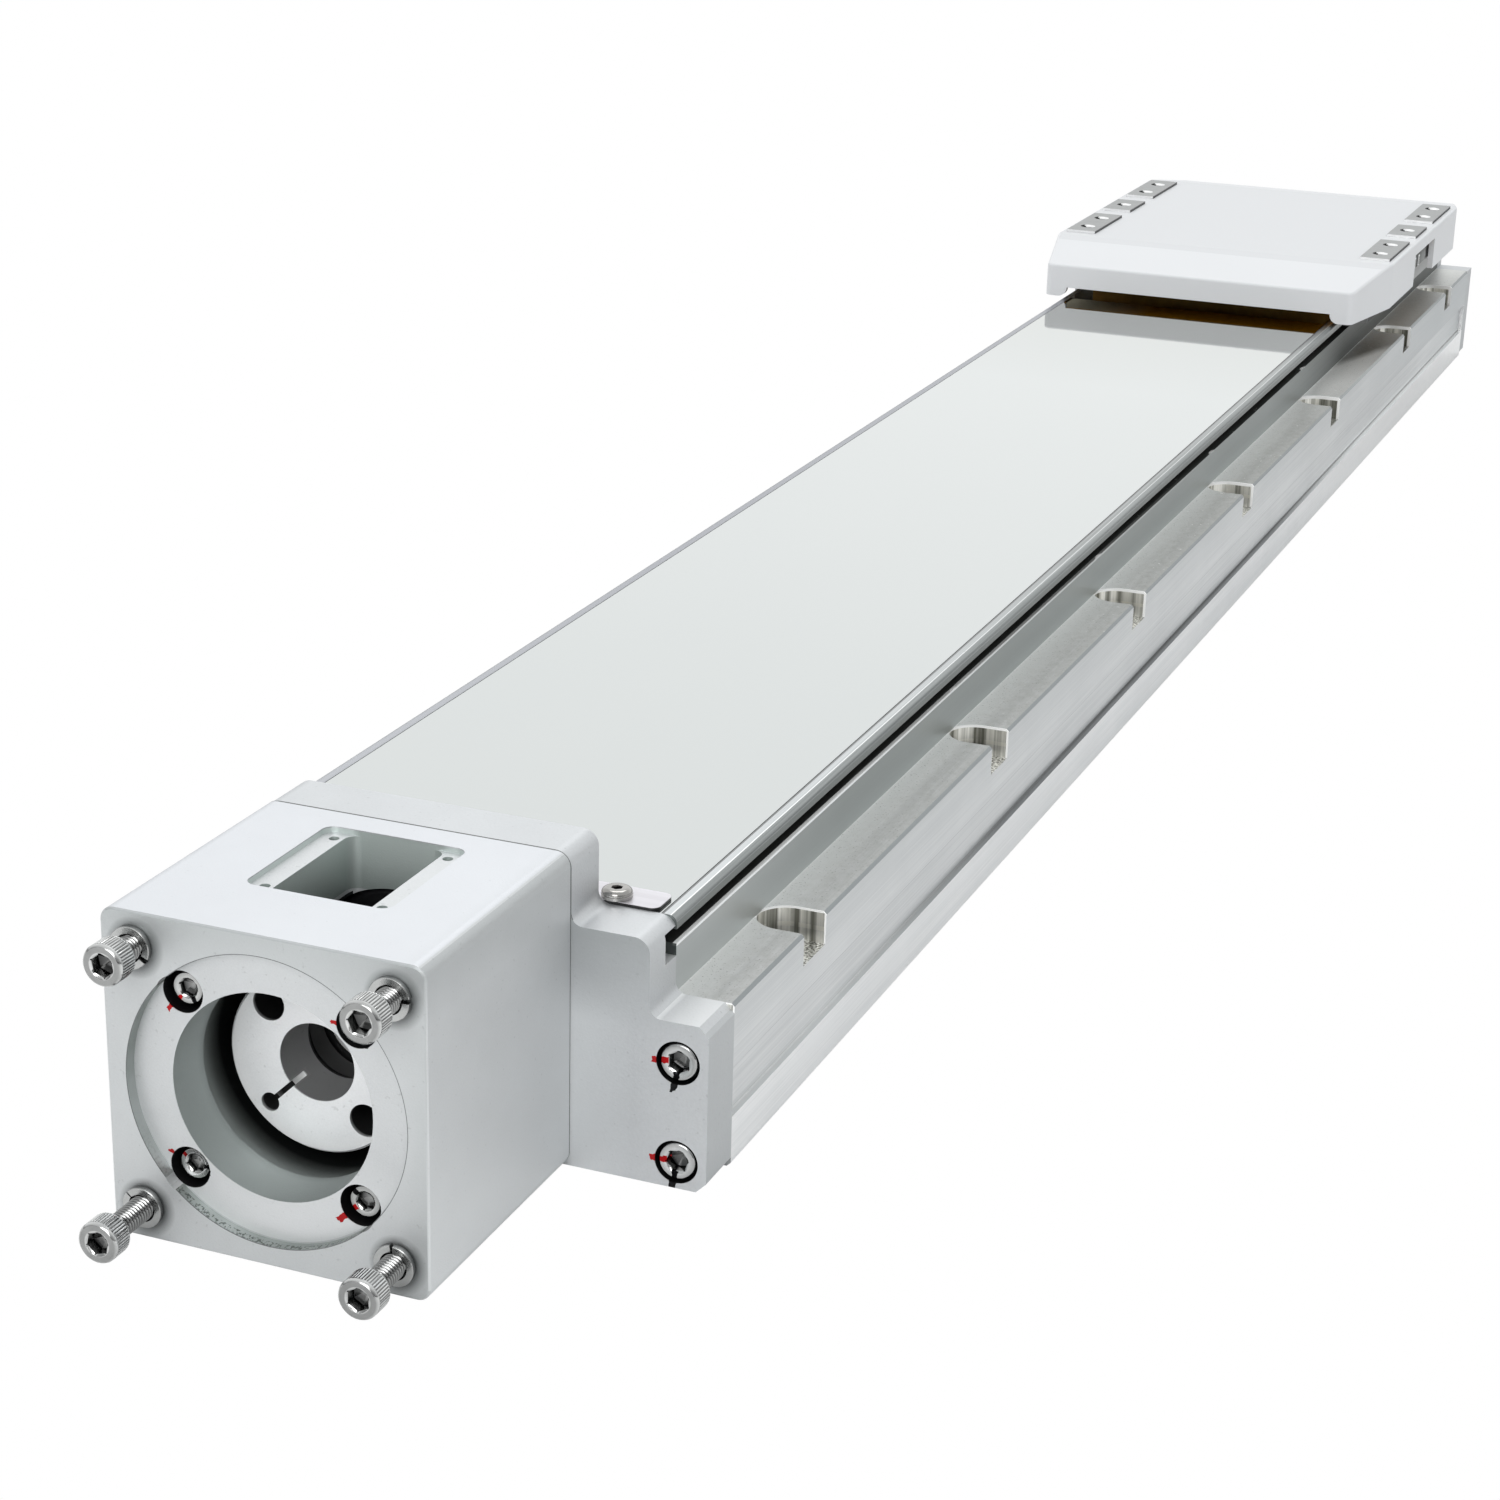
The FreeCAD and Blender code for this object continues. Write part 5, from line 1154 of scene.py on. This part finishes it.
# Button screws and washers of the strip clamps
buttons = []
rings = []
for y in (BASE0 + 0.0032, BASE1 - 0.0032):
    for side in (1, -1):
        seat = (side * 0.0433, y, WASHER_TOP)
        buttons.append(laid(button(radius=3.75, high=1.45, flat=1.2, turn=0.4), seat, "+z"))
        buttons.append(laid(bar(radius=1.95, start=-4.5, length=4.6), seat, "+z"))
        rings.append(laid(flat_ring(inner=2.05, outer=3.8, low=-0.9, high=0.0), seat, "+z"))
make("clamp_buttons", buttons, "button", "frame", ("strip_clamp_screws",))
make("clamp_washer_rings", rings, "button", "frame", ("strip_clamp_washers",))

# Strip clamps, a hair above the strip
for where, start in (("front", BASE0), ("rear", BASE1 - CLAMP_LONG)):
    levels = (CLAMP_LOW / MM + 0.05, CLAMP_TOP / MM)
    part = plate(CLAMP_HALF / MM, start / MM, CLAMP_LONG / MM, levels, radius=2.2, soft=0.08)
    parts = [laid(part, (0, 0, 0), "+z")]
    make("clamp_plate_" + where, parts, "clamp", "frame", ("strip_clamp_" + where,))

# Felt linings above the strip, behind the two mouths of the carriage cover
LINING_HALF = 0.061
LINING_LONG = 0.020
LINING_BACK = 0.0029
LINING_LEVELS = (66.8, 73.4)
for where, start in (("front", COVER0 + LINING_BACK), ("rear", COVER1 - LINING_BACK - LINING_LONG)):
    part = plate(LINING_HALF / MM, start / MM, LINING_LONG / MM, LINING_LEVELS, radius=2.0, soft=0.15)
    make("mouth_felt_" + where, [laid(part, (0, 0, 0), "+z")], "liner", "carriage")

# Stage, light and camera


def show_apart(m, lit, seen, output):
    """The camera sees one shader, and all that lights or is mirrored in the object is the other."""
    camera_ray = m.node("ShaderNodeLightPath")[CAMERA_RAY]
    mixed = m.node("ShaderNodeMixShader", None, {0: camera_ray, 1: lit, 2: seen})[0]
    m.tree.links.new(mixed.socket, m.tree.nodes[output].inputs[0])


def lay_floor(half, z):
    """A flat square floor that looks white to the camera and lights the object softly from below."""
    m = Mat("floor_pale", Roughness=0.9, Base_Color=(0.80, 0.80, 0.80, 1.0))
    white = m.node("ShaderNodeEmission", None, {"Color": grey(1.0)})[0]
    show_apart(m, Sock(m, m.shader.outputs[0]), white, "Material Output")
    data = bpy.data.meshes.new("floor")
    square = [(-half, -half, z), (half, -half, z), (half, half, z), (-half, half, z)]
    data.from_pydata(square, [], [(0, 1, 2, 3)])
    data.materials.append(m.data)
    floor = bpy.data.objects.new("floor", data)
    bpy.context.scene.collection.objects.link(floor)


class Room(Mat):
    """The same expressions on a world's tree."""

    def __init__(self, name):
        world = bpy.data.worlds.new(name)
        bpy.context.scene.world = world
        world.use_nodes = True
        self.tree = world.node_tree
        self.tree.nodes.remove(self.tree.nodes["Background"])


def make_room():
    """White to the camera; to everything else a room: bright behind, above and at the sides, dark behind
    the camera and along the horizon."""
    room = Room("studio")
    way = room.node("ShaderNodeTexCoord")[GENERATED]
    x, y, z = room.node("ShaderNodeSeparateXYZ", None, {0: way})
    height = z.ramp(0.03, 0.17) * 0.62 + 0.35
    roof = z.ramp(0.60, 0.95) * -0.12
    right = x.ramp(0.2, 0.9) * -0.16
    back_wall = y.ramp(0.45, 0.75) * z.ramp(0.10, 0.18) * (1 - z.ramp(0.45, 0.62)) * 0.25
    behind_camera = y.ramp(-0.05, -0.55) * (1 - z.ramp(0.30, 0.70)) * 0.55
    level = (height + roof + right + back_wall) * (1 - behind_camera)
    walls = room.node("ShaderNodeBackground", None, {"Color": (0.985, 1.0, 1.0), "Strength": level})[0]
    white = room.node("ShaderNodeBackground", None, {"Color": grey(1.0)})[0]
    show_apart(room, walls, white, "World Output")


def soft_light(name, place, target, size, power):
    """A square area light aimed at a point."""
    data = bpy.data.lights.new(name, "AREA")
    data.shape = "SQUARE"
    data.size = size
    data.energy = power
    light = bpy.data.objects.new(name, data)
    bpy.context.scene.collection.objects.link(light)
    light.location = place
    way = mathutils.Vector(target) - mathutils.Vector(place)
    light.rotation_euler = way.to_track_quat("-Z", "Y").to_euler()


def photo_camera():
    """The photograph's camera: its place and the directions of its picture's right and upper side."""
    data = bpy.data.cameras.new("camera")
    data.sensor_width = 36.0
    data.lens = 76.574
    data.shift_x = 0.03625
    data.shift_y = 0.05517
    data.clip_start = 0.01
    data.clip_end = 50.0
    eye = (0.32351, -0.68289, 0.35132)
    right = (0.921699, 0.387444, 0.019027)
    up = (-0.158148, 0.330529, 0.930451)
    back = (0.354208, -0.860606, 0.365921)
    camera = bpy.data.objects.new("camera", data)
    bpy.context.scene.collection.objects.link(camera)
    camera.matrix_world = mathutils.Matrix([*zip(right, up, back, eye), (0, 0, 0, 1)])
    bpy.context.scene.camera = camera


lay_floor(half=6.0, z=-0.0005)
make_room()
soft_light("front", place=(0.15, -1.35, 0.75), target=(0, -0.1, AXIS), size=0.9, power=12)
soft_light("overhead", place=(-0.4, 1.3, 2.1), target=(0, 0.3, AXIS), size=1.2, power=10)
photo_camera()
bpy.context.scene.view_settings.view_transform = "Standard"
